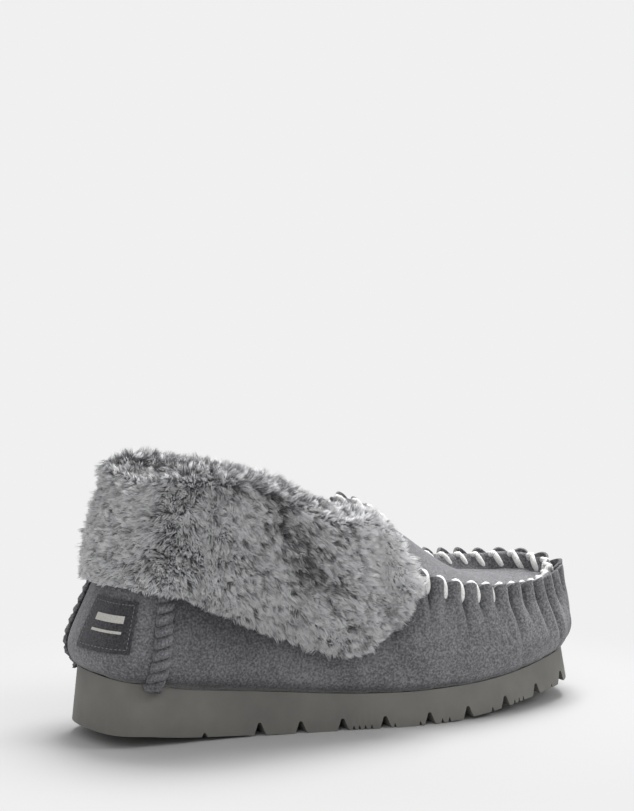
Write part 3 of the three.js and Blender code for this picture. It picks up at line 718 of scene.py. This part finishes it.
def sole_point(u, v, w):
    """The moulding as one slab: u from heel to toe, v across from the outer to the inner edge, w upwards."""
    start = END_STATIONS
    reach = sole_reach(u)
    inset = SOLE_FLARE * w
    chord = mix(edge(reach, inset), edge(-reach, inset), v[:, None])
    round_heel = edge(mix(start, -start, v), inset) - mix(edge(start, inset), edge(-start, inset), v[:, None])
    toe_at = mix(TOE_TIP - start, TOE_TIP + start, v)
    flat_toe = mix(edge(TOE_TIP - start, inset), edge(TOE_TIP + start, inset), v[:, None])
    round_toe = edge(toe_at, inset) - flat_toe
    p = chord + round_heel * (1 - smooth(u, 0, 0.03))[:, None] + round_toe * smooth(u, 0.97, 1)[:, None]
    p[:, 2] = mix(sole_bottom(p[:, 0]), sole_top(p[:, 0]), w)
    return p


def groove_cutter(station, width, depth, reach_in=None):
    """A bar with a V section and a rounded crest, across the sole or only as far as reach_in."""
    outer, inner = edge(station, -CUTTER_OUT), edge(2 * TOE_TIP - station, -CUTTER_OUT)
    length = float(np.linalg.norm(outer - inner))
    across = (inner - outer) / length
    middle_x = float((outer[0] + inner[0]) / 2)
    floor_z = float(sole_bottom(middle_x if reach_in is None else edge(station, 0.0)[0]))
    side = np.cross([0, 0, 1.0], across)
    foot = 0.5 * width + 0.4 * CUTTER_LOW
    section = [(-foot, -CUTTER_LOW), (foot, -CUTTER_LOW), (0.24 * width, 0.62 * depth)]
    for turn in (1.3, 0.8, 0.3, -0.3, -0.8, -1.3):
        section.append((0.17 * width * math.sin(turn), depth * (0.82 + 0.18 * math.cos(turn))))
    section += [(-0.24 * width, 0.62 * depth)]
    free_hands()
    bpy.ops.mesh.primitive_circle_add(vertices=len(section), radius=1, fill_type="NGON", location=(0, 0, 0))
    bar = bpy.context.object
    base = outer + [0, 0, floor_z]
    move_points(bar, np.array([base + side * x + [0, 0, z] for x, z in section]) * MM)
    extrude_face(tuple(across * (length if reach_in is None else CUTTER_OUT + reach_in) * MM))
    return bar


def cut(obj, cutter):
    hold(obj)
    cutting = obj.modifiers.new("cut", "BOOLEAN")
    cutting.operation = "DIFFERENCE"
    cutting.object = cutter
    bpy.ops.object.modifier_apply(modifier=cutting.name)
    bpy.data.objects.remove(cutter)


ring = np.linspace(0, TOE_TIP, 401)
ring_steps = np.linalg.norm(np.diff(edge(ring, np.zeros(401)), axis=0), axis=1)
ring_length = np.concatenate([[0], np.cumsum(ring_steps)])


def ring_station(distance):
    """The station at a distance along the sole's edge from the back of the heel."""
    return float(np.interp(distance, ring_length, ring))


outsole = bent_slab(200, 16, sole_point)
bevel_edges(outsole, SOLE_ROUNDING, 3, 50)
for groove in range(GROOVES):
    at = ring_station(FIRST_GROOVE + GROOVE_PITCH * groove)
    cut(outsole, groove_cutter(at, GROOVE_WIDTH, GROOVE_DEPTH))
# A shallow notch stands before the first groove, and short slots of the tread open between the later ones.
at = ring_station(FIRST_GROOVE - NOTCH_BEFORE)
cut(outsole, groove_cutter(at, NOTCH_WIDTH, NOTCH_DEPTH, NOTCH_REACH))
slots = {2: (-5, -2, 1, 4), 3: (-6, 6), 4: (-4, 0), 5: (3,), 6: (-5, -2, 1), 7: (2,)}
for groove, offsets in slots.items():
    for offset in offsets:
        at = ring_station(FIRST_GROOVE + GROOVE_PITCH * (groove + 0.5) + offset)
        cut(outsole, groove_cutter(at, SLOT_WIDTH, SLOT_DEPTH, SLOT_REACH))
finish_piece(outsole, "notched_outsole", eva, "sole_eva", "outsole", flat_above=35)


# ---- Cuffs ----
# Heights of the hem at stations, then the stations of the front ends at shares of the section.
outer_hem = profile(
    [(0, 75), (1, 76), (2, 74), (2.5, 66), (3, 56), (4, 39), (4.6, 42), (5.1, 47), (5.5, 54), (5.9, 63)]
)
inner_hem = profile(
    [(0, 75), (1, 76), (1.6, 74), (2.5, 64), (3, 56), (4, 41), (4.5, 46), (5.1, 62), (5.45, 80)]
)
front_edge = profile([(0, 4.9), (0.3, 5.55), (0.5, 5.78), (0.7, 5.84), (1, 5.6)])
inner_front_edge = profile([(0, 4.0), (0.3, 4.45), (0.5, 5.05), (0.7, 5.4), (1, 5.3)])
FOLD_SHARE = 0.3
TAPE_SEAT = 2.26  # height of the cuff's hide over the suede's top edge


def cuff_point(station, v, w):
    near = np.abs(station)
    inner = station < 0
    pile = mix(CUFF_PILE_HEEL, CUFF_PILE_SIDE, smooth(near, 0.6, 2.2))
    out = outward(station)
    throat = smooth(near, OUTER_THROAT - np.where(inner, 1.4, 0.7), OUTER_THROAT - 0.05)
    reach = mix(SUEDE + SHELL_GAP + LINING_PILE + 0.5, 0.6, throat)
    lift = TAPE_SEAT + throat * np.where(inner, 1.2, 2.4)
    angle = np.pi / 2 * np.clip(1 - v / FOLD_SHARE, 0, 1)
    fold = skin(station, 1) + out * (CUFF_STANDOFF - (reach + CUFF_STANDOFF) * np.sin(angle))[:, None]
    ending = np.where(inner, CUFF_INNER_THROAT, CUFF_THROAT)
    behind = 1 - smooth(near, 0.3, 1.9)  # 1 at the back of the heel, where the fold is thinner and rounder
    crown = np.where(inner, CUFF_FOLD - 4.5, CUFF_FOLD - 0.8) - 1.4 * behind
    thick = mix(pile, mix(crown, ending, throat), np.sin(angle)) * w
    lean = np.minimum(np.sin(angle) * 1.25, np.pi / 2)
    tuck = 3.4 * (1 - smooth(near, 1.3, 2.3))
    fold = fold + out * (thick * np.cos(lean) - tuck * np.cos(angle))[:, None]
    fold[:, 2] += lift + thick * np.sin(lean)
    fall = np.clip((v - FOLD_SHARE) / (1 - FOLD_SHARE), 0, 1)
    low = share_at(station, np.where(inner, inner_hem(near), outer_hem(near)))
    at = np.clip(mix(1, low, fall), 0, 1)
    hang = under(station, at, -CUFF_STANDOFF + tuck * (1 - smooth(fall, 0, 0.6)))
    hang[:, 2] += lift * (1 - smooth(fall, 0, 0.4))
    rounding = np.sqrt(1 - np.clip((fall - 0.72) / 0.3, 0, 1) ** 2)
    hang = hang + skin_normal(station, at) * (pile * w * mix(0.35, 1, rounding))[:, None]
    return np.where((v < FOLD_SHARE)[:, None], fold, hang)


CUFF_GAP = 0.015


def cuff_ends(part, v):
    if part == "outer":
        return np.full_like(v, OUTER_CUFF_SEAM - CUFF_GAP), front_edge(v)
    if part == "heel":
        return np.full_like(v, INNER_CUFF_SEAM + CUFF_GAP), np.full_like(v, OUTER_CUFF_SEAM - CUFF_GAP)
    return -inner_front_edge(v), np.full_like(v, INNER_CUFF_SEAM - CUFF_GAP)


def cuff_surface(part, u, v, w):
    start, end = cuff_ends(part, v)
    return cuff_point(mix(start, end, u), v, w)


# ---- Wool ----
CELLS_U, CELLS_V = 240, 120  # cells of the grid on which a surface is sampled
SWIRL_SIZES = np.array([9, 21])  # sizes in millimetres of the patches in which the pile turns
CLUMP_REACH = 9
LOCK_FACES = np.array(
    [(0, 1, 4), (0, 4, 3), (1, 2, 5), (1, 5, 4), (2, 0, 3), (2, 3, 5), (3, 4, 6), (4, 5, 6), (5, 3, 6)]
)
LOCK_SHARES = np.array([0, 0, 0, 0.5, 0.5, 0.5, 1])  # how far along its lock each of the seven points stands


def sample(field, u, v):
    """The value at (u, v) of a field kept on the grid's corners."""
    x, y = u * CELLS_U, v * CELLS_V
    i, j = np.minimum(x.astype(int), CELLS_U - 1), np.minimum(y.astype(int), CELLS_V - 1)
    a, b = (x - i)[:, None], (y - j)[:, None]
    near, far = mix(field[i, j], field[i + 1, j], a), mix(field[i, j + 1], field[i + 1, j + 1], a)
    return mix(near, far, b)


def nearest_hubs(hub, root):
    tree = KDTree(len(hub))
    for i, spot in enumerate(hub):
        tree.insert(spot, i)
    tree.balance()
    return np.array([tree.find(spot)[1] for spot in root])


def lock_mesh(name, points, own):
    """All locks as one mesh, seven points each; the layer "lock" keeps own tone and share of the length."""
    faces = (LOCK_FACES[None] + 7 * np.arange(len(own))[:, None, None]).reshape(-1, 3)
    mesh = bpy.data.meshes.new(name)
    mesh.vertices.add(len(points))
    mesh.vertices.foreach_set("co", points.ravel())
    mesh.loops.add(len(faces) * 3)
    mesh.loops.foreach_set("vertex_index", faces.ravel())
    mesh.polygons.add(len(faces))
    mesh.polygons.foreach_set("loop_start", np.arange(0, len(faces) * 3, 3))
    mesh.update(calc_edges=True)
    per_point = np.stack([np.repeat(own, 7), np.tile(LOCK_SHARES, len(own))], 1)
    layer = mesh.uv_layers.new(name="lock")
    layer.data.foreach_set("uv", per_point[faces.ravel()].astype(np.float32).ravel())
    return placed(name, mesh)


def wool(
    name, surface, count, length, width, lie, material, slot, seed, upright=0.55, clumps=420, clumping=0.55,
    tone=None, facing=-1,
):  # fmt: skip
    """Locks of wool rooted all over a surface. surface(u, v) gives points in millimetres, lie(u, v) how far
    the pile leans along u and along v, and length(u, v) its length. A lock is a tapered three-sided spike of
    nine faces, bent over towards the lie; neighbouring locks close into clumps."""
    rng = np.random.default_rng(seed)
    shares = np.linspace(0, 1, CELLS_U + 1), np.linspace(0, 1, CELLS_V + 1)
    gu, gv = np.meshgrid(*shares, indexing="ij")
    grid = surface(gu.ravel(), gv.ravel()).reshape(CELLS_U + 1, CELLS_V + 1, 3)
    du, dv = np.gradient(grid, axis=0), np.gradient(grid, axis=1)
    cross = np.cross(du, dv)
    area = np.linalg.norm(cross, axis=-1)[:-1, :-1].ravel()
    toward = unit(cross) * facing
    swirl = unit(rng.normal(0, 1, (3, 2, 3))) * 2 * np.pi / SWIRL_SIZES[None, :, None]
    phase = rng.uniform(0, 6.3, (3, 2))

    def locks(n):
        cell = np.searchsorted(np.cumsum(area) / area.sum(), rng.random(n)).clip(0, len(area) - 1)
        u = (cell // CELLS_V + rng.random(n)) / CELLS_U
        v = (cell % CELLS_V + rng.random(n)) / CELLS_V
        root, normal = sample(grid, u, v), unit(sample(toward, u, v))
        lean_u, lean_v = lie(u, v)
        flow = unit(sample(du, u, v)) * lean_u[:, None] + unit(sample(dv, u, v)) * lean_v[:, None]
        for axis in range(3):
            for size in range(2):
                flow[:, axis] += 0.3 * np.sin(root @ swirl[axis, size] + phase[axis, size])
        flow = flow + rng.normal(0, 0.24, (n, 3))
        normal = unit(normal + rng.normal(0, 0.16, (n, 3)))
        long = length(u, v) * rng.uniform(0.72, 1.08, n)
        middle = root + (normal * 0.5 * upright + flow * 0.2) * long[:, None]
        tip = root + (normal * upright + flow * 0.62) * long[:, None]
        return u, v, root, middle, tip

    u, v, root, middle, tip = locks(count)
    _, _, hub, hub_middle, hub_tip = locks(clumps)
    nearest = nearest_hubs(hub, root)
    apart = root - hub[nearest]
    spread = np.linalg.norm(apart, axis=1, keepdims=True)
    pull = clumping * rng.uniform(0.6, 1.1, count)[:, None] * np.exp(-((spread / CLUMP_REACH) ** 2))
    tip = mix(tip, hub_tip[nearest] + apart * 0.25, pull)
    middle = mix(middle, hub_middle[nearest] + apart * 0.7, pull * 0.5)
    direction = unit(tip - root)
    side = unit(np.cross(direction, rng.normal(size=(count, 3))))
    other = np.cross(direction, side)
    thick = width * rng.uniform(0.7, 1.3, count)[:, None]
    points = []
    for centre, radius in ((root, 0.5), (middle, 0.42)):
        for turn in (0, 2 * math.pi / 3, 4 * math.pi / 3):
            points.append(centre + (side * math.cos(turn) + other * math.sin(turn)) * thick * radius)
    points = np.stack(points + [tip], 1).reshape(-1, 3) * MM
    hub_tone = rng.normal(0.5, 0.36, clumps)
    own = np.clip(0.6 * hub_tone[nearest] + 0.4 * rng.normal(0.5, 0.2, count), 0.02, 0.98)
    # tone(u, v) shifts each lock's own tone; on the cuffs it carries painted shade and a painted highlight.
    if tone is not None:
        patch = np.sin(root @ swirl[0, 1] + 1.0) * np.sin(root @ swirl[1, 0])
        own = np.clip(own + tone(u, v) + 0.12 * patch, 0.02, 0.98)
    return finish_piece(lock_mesh(name, points, own), name, material, slot)


PILE_ROOM = 4.6


def quarter_round(x):
    return np.sqrt(1 - (1 - np.clip(x, 0, 1)) ** 2)


def cuff_hide_point(part, u, v, w):
    """The hide leaves the same room for wool under the cuff's outer shape, and thins out at its free edges."""
    inner, outer = cuff_surface(part, u, v, np.zeros_like(u)), cuff_surface(part, u, v, np.ones_like(u))
    across = outer - inner
    thick = np.linalg.norm(across, axis=1)
    share = np.maximum(1 - PILE_ROOM / np.maximum(thick, 0.1), 0.12)
    front = {"outer": 1 - u, "inner": u, "heel": np.ones_like(u)}[part]
    share = share * mix(0.12, 1, quarter_round(front / 0.08)) * mix(0.2, 1, quarter_round(v / 0.1))
    return inner + across * (share * w)[:, None]


def crowned_cuff(part, node):
    pad = bent_slab(150, 60, lambda u, v, w: cuff_hide_point(part, u, v, w))
    pad = finish_piece(pad, f"{part}_cuff_hide", hide, "cuff_fleece", node)
    return pad


def pile_length(part, u, v):
    """Clipped pile: nearly even, with taller and lower tufts, and thin where it ends beside the tongue."""
    tuft = np.sin(u * 61 + 3 * np.sin(v * 17)) * np.sin(v * 33 + 2 * np.sin(u * 23))
    long = 5.4 + 0.9 * tuft - 0.9 * smooth(v, 0.9, 1.0)
    if part != "inner":
        long = long + 0.6 * (1 - smooth(v, 0.12, 0.25))
    if part == "inner":
        long = long * mix(0.5, 1, np.maximum(smooth(u, 0.03, 0.3), smooth(v, 0.4, 0.6)))
    if part == "heel":
        long = long * mix(1, 0.85, smooth(v, 0.12, 0.3))
    return long


def pile_tone_and_painted_light(part, u, v):
    """Painted light on the locks: painted shade over the fold and where the pile parts beside the heel seam,
    a painted highlight where it stands open at the front, and a little paler along the hem."""
    painted_fold_shade = 1 - smooth(v, 0.2, 0.42)
    if part == "outer":
        # Painted highlight at the front of the outer cuff.
        front = smooth(u, 0.5, 0.85) * smooth(v, 0.22, 0.34) * (1 - smooth(v, 0.6, 0.9))
        painted_parting_shade = np.exp(-(((u - 0.2 - 0.25 * v) / 0.1) ** 2))
        painted_parting_shade = painted_parting_shade * smooth(v, 0.2, 0.4) * (1 - smooth(v, 0.6, 0.85))
        return 0.02 + 0.5 * front - 0.34 * painted_parting_shade - painted_fold_shade * mix(0.42, 0.2, smooth(u, 0.45, 0.85))
    return 0.0 - 0.38 * painted_fold_shade + 0.1 * smooth(v, 0.7, 1.0)


def lean_down(v):
    """The pile falls inwards over the collar's inner edge, stands on the fold and falls to the hem outside."""
    return mix(-0.7, 0.1, smooth(v, 0.02, 0.14)) + 0.4 * smooth(v, 0.24, 0.32)


def lie_forward(u, v):
    """On the outer side the pile leans to the toe, but falls the other way close to the heel seam."""
    return mix(-0.45, 0.55, smooth(u, 0.0, 0.16)), lean_down(v)


def lie_backward(u, v):
    return mix(0.3, -0.45, smooth(1 - u, 0.0, 0.2)), lean_down(v)


for part, node, lie, seed, layers, count in (
    ("outer", "cuff_outer", lie_forward, 11, 3, 22000),
    ("heel", "cuff_heel", lie_backward, 23, 2, 14000),
    ("inner", "cuff_inner", lie_backward, 37, 2, 13500),
):
    crowned_cuff(part, node)
    for layer in range(layers):
        wool(
            f"{part}_cuff_wool_{layer + 1}",
            lambda u, v, part=part: cuff_hide_point(part, u, v, np.ones_like(u)),
            count,
            lambda u, v, part=part: pile_length(part, u, v),
            0.34,
            lie,
            cuff_wool,
            "cuff_fleece",
            seed + layer,
            upright=0.8,
            clumps=1300,
            clumping=0.85,
            tone=lambda u, v, part=part: pile_tone_and_painted_light(part, u, v),
        )

# ---- Linings ----
LINING_OUT = SUEDE + SHELL_GAP


def lining_foot(station):
    return share_at(station, skin(station, 0)[..., 2] + 4.2)


def lining_head(station):
    into = smooth(station, OUTER_THROAT - 0.6, OUTER_THROAT)
    out_of = smooth(station, INNER_THROAT, INNER_THROAT + 0.6)
    drop = mix(1, APRON_DIP + 3.2, into * (1 - out_of))
    return share_at(station, skin(station, 1)[..., 2] - drop)


def lining(start, end, deep, thick):
    def place(u, v, w):
        station = mix(start, end, u)
        return under(station, mix(lining_foot(station), lining_head(station), v), mix(deep + thick, deep, w))

    return place


HEEL_LINING_OUT = LINING_OUT + SHELL_GAP + COUNTER
HIDE = 3.5  # thickness of the linings' ground, out of which the pile stands
FOOTBED_INSET, FOOTBED_LOW, FOOTBED_HIGH = 4.5, 6.5, 10.3
PILE_ROOT = HIDE - 0.1

wall_lining = bent_slab(240, 20, lining(WALL_FROM, WALL_TO, LINING_OUT, HIDE))
finish_piece(wall_lining, "wall_fleece", hide, "lining_fleece", "wall_lining")
heel_lining = bent_slab(60, 24, lining(HEEL_FROM, HEEL_TO, HEEL_LINING_OUT, HIDE))
finish_piece(heel_lining, "heel_fleece", hide, "lining_fleece", "heel_lining")
apron_lining = bent_slab(
    60, 24, lambda u, v, w: apron_sheet(u, v, w, LINING_PILE + 6, -SHELL_GAP - 4, -SHELL_GAP)
)
finish_piece(apron_lining, "apron_fleece", hide, "lining_fleece", "apron_lining")


def lining_wool_piece(name, start, end, deep, count, seed):
    """Clipped pile on the inside, over the whole height of the lining."""

    def surface(u, v):
        station = mix(start, end, u)
        return under(station, mix(lining_head(station), lining_foot(station), v), deep)

    return wool(
        name,
        surface,
        count,
        lambda u, v: 6.0 + 0 * u,
        0.6,
        lambda u, v: (0 * u, 0.35 + 0 * u),
        lining_wool,
        "lining_fleece",
        seed,
        clumps=500,
        clumping=0.6,
        facing=1,
        tone=lambda u, v: 0 * u,
    )


lining_wool_piece("outer_wall_pile", WALL_FROM, 6.5, LINING_OUT + PILE_ROOT, 12500, 51)
lining_wool_piece("inner_wall_pile", 13.5, WALL_TO, LINING_OUT + PILE_ROOT, 12500, 53)
lining_wool_piece("heel_pile", HEEL_FROM, HEEL_TO, HEEL_LINING_OUT + PILE_ROOT, 9000, 57)


def footbed_point(u, v, w):
    """The fleece insole: u from heel to toe, v across."""
    inset = SOLE_FLARE + LINING_OUT + FOOTBED_INSET + 0 * u
    reach = sole_reach(u)
    p = mix(edge(reach, inset), edge(-reach, inset), v[:, None])
    p[:, 2] = sole_top(p[:, 0]) + mix(FOOTBED_LOW, FOOTBED_HIGH + 1.2 * np.sin(np.pi * v), w)
    return p


insole = bent_slab(90, 24, footbed_point)
finish_piece(insole, "fleece_footbed", hide, "lining_fleece", "fleece_insole")
wool(
    "footbed_pile",
    lambda u, v: footbed_point(u, v, np.ones_like(u)),
    13000,
    lambda u, v: 3.6 + 0 * u,
    0.6,
    lambda u, v: (0.5 + 0 * u, 0 * u),
    lining_wool,
    "lining_fleece",
    61,
    clumps=700,
    clumping=0.6,
    tone=lambda u, v: 0 * u,
)


# ---- Braids ----
def braid_piece(name, station, node, stand=3.9):
    sole = float(skin(station, 0)[2])
    bottom = sole - BRAID_OVERLAP
    lumps = round((BRAID_TOP - bottom) / BRAID_PITCH)
    share = BRAID_WIDTH / HEEL_STATION

    def place(u, v, w):
        height = mix(bottom, BRAID_TOP, u)
        turn = u * lumps + (v - 0.5) * 0.3 + 0.08 * wander(u * 40, 6)
        lump = np.abs(np.sin(np.pi * turn)) ** 0.55
        across = (0.5 - v) * share * (0.8 + 0.2 * lump + 0.06 * wander(u * 90 + 3 * (v > 0.5), 8))
        crown = 0.3 + 0.8 * np.sin(np.pi * np.clip(v, 0, 1)) ** 0.6
        thick = stand * mix(0.45, 1, lump) * crown + 0.35 * wander(u * 170 + v * 11, 4)
        at = np.maximum(share_at(station + across, height), 0)
        p = under(station + across, at, -GAP - 0.25)
        below = np.maximum(sole - height, 0)
        lap = smooth(below, -1.5, BRAID_OVERLAP) * 1.8
        p = p + outward(station + across) * (lap + w * thick)[:, None]
        p[:, 2] -= below
        return p

    # Painted shade in the grooves between the braid's lumps.
    def shade(u, v):
        return 1 - np.abs(np.sin(np.pi * (u * lumps + (v - 0.5) * 0.35))) ** 0.4

    slab = bent_slab(lumps * 12, 14, place, shade)
    return finish_piece(slab, name, suede_strip, "suede_braid", node)


braid_piece("outer_heel_braid", OUTER_SEAM, "heel_braid_outer")
braid_piece("inner_heel_braid", COUNT + INNER_SEAM, "heel_braid_inner", 2.4)


# ---- Label ----
def label_point(u, v, depth):
    station = mix(LABEL_FROM, LABEL_TO, u)
    return under(station, share_at(station, LABEL_LOW + LABEL_HEIGHT * v), depth)


def label_slab(u, v, w):
    swell = 0.2 * np.sin(np.pi * u) * np.sin(np.pi * v)
    return label_point(u, v, -LABEL_GAP - (LABEL_THICKNESS + swell) * w)


label = bent_slab(48, 30, label_slab)
finish_piece(label, "heel_patch", suede_patch, "label_patch", "heel_label", flat_above=50)


def stitch_run(name, spots, long, thick, material, slot, *nodes):
    """Short stitches, one small rounded bar each: (point, direction along, direction out) in millimetres."""
    free_hands()
    bpy.ops.mesh.primitive_uv_sphere_add(segments=8, ring_count=6, radius=0.5, location=(0, 0, 0))
    one = bpy.context.object
    shape = points_of(one).copy()
    faces = [tuple(face.vertices) for face in one.data.polygons]
    bpy.data.objects.remove(one)
    points, all_faces = [], []
    for at, along, out in spots:
        side = np.cross(along, out)
        bent = shape[:, 2:3] * long * along + shape[:, 0:1] * thick * side + shape[:, 1:2] * thick * out
        all_faces += [tuple(i + len(points) * len(shape) for i in face) for face in faces]
        points.append(at + bent)
    mesh = bpy.data.meshes.new(name)
    mesh.from_pydata((np.concatenate(points) * MM).tolist(), [], all_faces)
    return finish_piece(placed(name, mesh), name, material, slot, *nodes)


def border_spots(inset, pitch, height):
    """Places of the stitches round the patch."""
    wide = float(np.linalg.norm(label_point(0.0, 0.5, 0.0) - label_point(1.0, 0.5, 0.0)))
    left, low = inset / wide, inset / LABEL_HEIGHT
    corners = [(left, low), (1 - left, low), (1 - left, 1 - low), (left, 1 - low), (left, low)]
    spots = []
    for (u0, v0), (u1, v1) in zip(corners, corners[1:]):
        length = math.hypot((u1 - u0) * wide, (v1 - v0) * LABEL_HEIGHT)
        count = round(length / pitch)
        for k in range(count):
            a, b = (k + 0.2) / count, (k + 0.8) / count
            p = label_point(mix(u0, u1, a), mix(v0, v1, a), -height)
            q = label_point(mix(u0, u1, b), mix(v0, v1, b), -height)
            station = mix(LABEL_FROM, LABEL_TO, mix(u0, u1, a))
            out = skin_normal(station, share_at(station, LABEL_LOW + LABEL_HEIGHT * mix(v0, v1, a)))
            spots.append(((p + q) / 2, unit(q - p), out))
    return spots


stitch_run("patch_stitches", border_spots(1.9, 2.1, 1.5), 1.5, 0.55, dark_thread, "thread", "label_thread")


def bar(name, u0, u1, v0, v1):
    slab = bent_slab(24, 4, lambda u, v, w: label_point(mix(u0, u1, u), mix(v0, v1, v), -1.35 - 0.45 * w))
    return finish_piece(slab, name, pale_print, "label_patch", flat_above=40)


bar("woven_bar_wide", 0.24, 0.80, 0.56, 0.70)
bar("woven_bar_narrow", 0.24, 0.80, 0.36, 0.41)

# ---- Stage and light ----
free_hands()
bpy.ops.mesh.primitive_plane_add(size=40, location=(0, 0, 0))
floor = bpy.context.object
floor.name = "studio_floor"
floor_paper, tree, shader = new_material("studio paper")
set_inputs(shader, {"Base Color": linear("#C0C0C0"), "Roughness": 1.0, "Specular IOR Level": 0.0})
place = add_node(tree, "ShaderNodeTexCoord").outputs["Object"]
far = add_node(tree, "ShaderNodeVectorMath", {"operation": "LENGTH"}, {0: place})
fade = add_node(
    tree,
    "ShaderNodeMapRange",
    {"From Min": 0.12, "From Max": 0.26, "interpolation_type": "SMOOTHSTEP"},
    {"Value": far.outputs["Value"]},
)
glow = add_node(tree, "ShaderNodeEmission", {"Color": linear("#F0F0F0"), "Strength": 1.0})
blend = add_node(
    tree, "ShaderNodeMixShader", links={0: fade.outputs[0], 1: shader.outputs[0], 2: glow.outputs[0]}
)
tree.links.new(blend.outputs[0], tree.nodes["Material Output"].inputs["Surface"])
floor.data.materials.append(floor_paper)

scene = bpy.context.scene
scene.view_settings.view_transform = "Standard"
world = bpy.data.worlds.new("studio air")
scene.world = world
world.use_nodes = True
tree = world.node_tree
tree.nodes.clear()
seen = add_node(tree, "ShaderNodeBackground", {"Color": linear("#F0F0F0"), "Strength": 1.0})
lit = add_node(tree, "ShaderNodeBackground", {"Color": linear("#FFFFFF"), "Strength": 0.52})
ray = add_node(tree, "ShaderNodeLightPath")
pick = add_node(
    tree, "ShaderNodeMixShader", links={0: ray.outputs["Is Camera Ray"], 1: lit.outputs[0], 2: seen.outputs[0]}
)
add_node(tree, "ShaderNodeOutputWorld", links={"Surface": pick.outputs[0]})


def softbox(name, place, target, size, power):
    free_hands()
    bpy.ops.object.light_add(type="AREA", location=place)
    lamp = bpy.context.object
    lamp.name = name
    lamp.data.shape = "RECTANGLE"
    lamp.data.size, lamp.data.size_y = size
    lamp.data.energy = power
    lamp.rotation_mode = "QUATERNION"
    lamp.rotation_quaternion = (Vector(target) - Vector(place)).to_track_quat("-Z", "Y")


softbox("overhead softbox", (0.45, 0.45, 1.5), (0, 0, 0.05), (0.8, 0.8), 32)
softbox("front softbox", (-1.2, -1.4, 1.0), (0, 0, 0.06), (1.0, 1.0), 4.5)
softbox("toe softbox", (1.3, -0.9, 1.1), (0.05, 0, 0.06), (0.8, 0.8), 9)
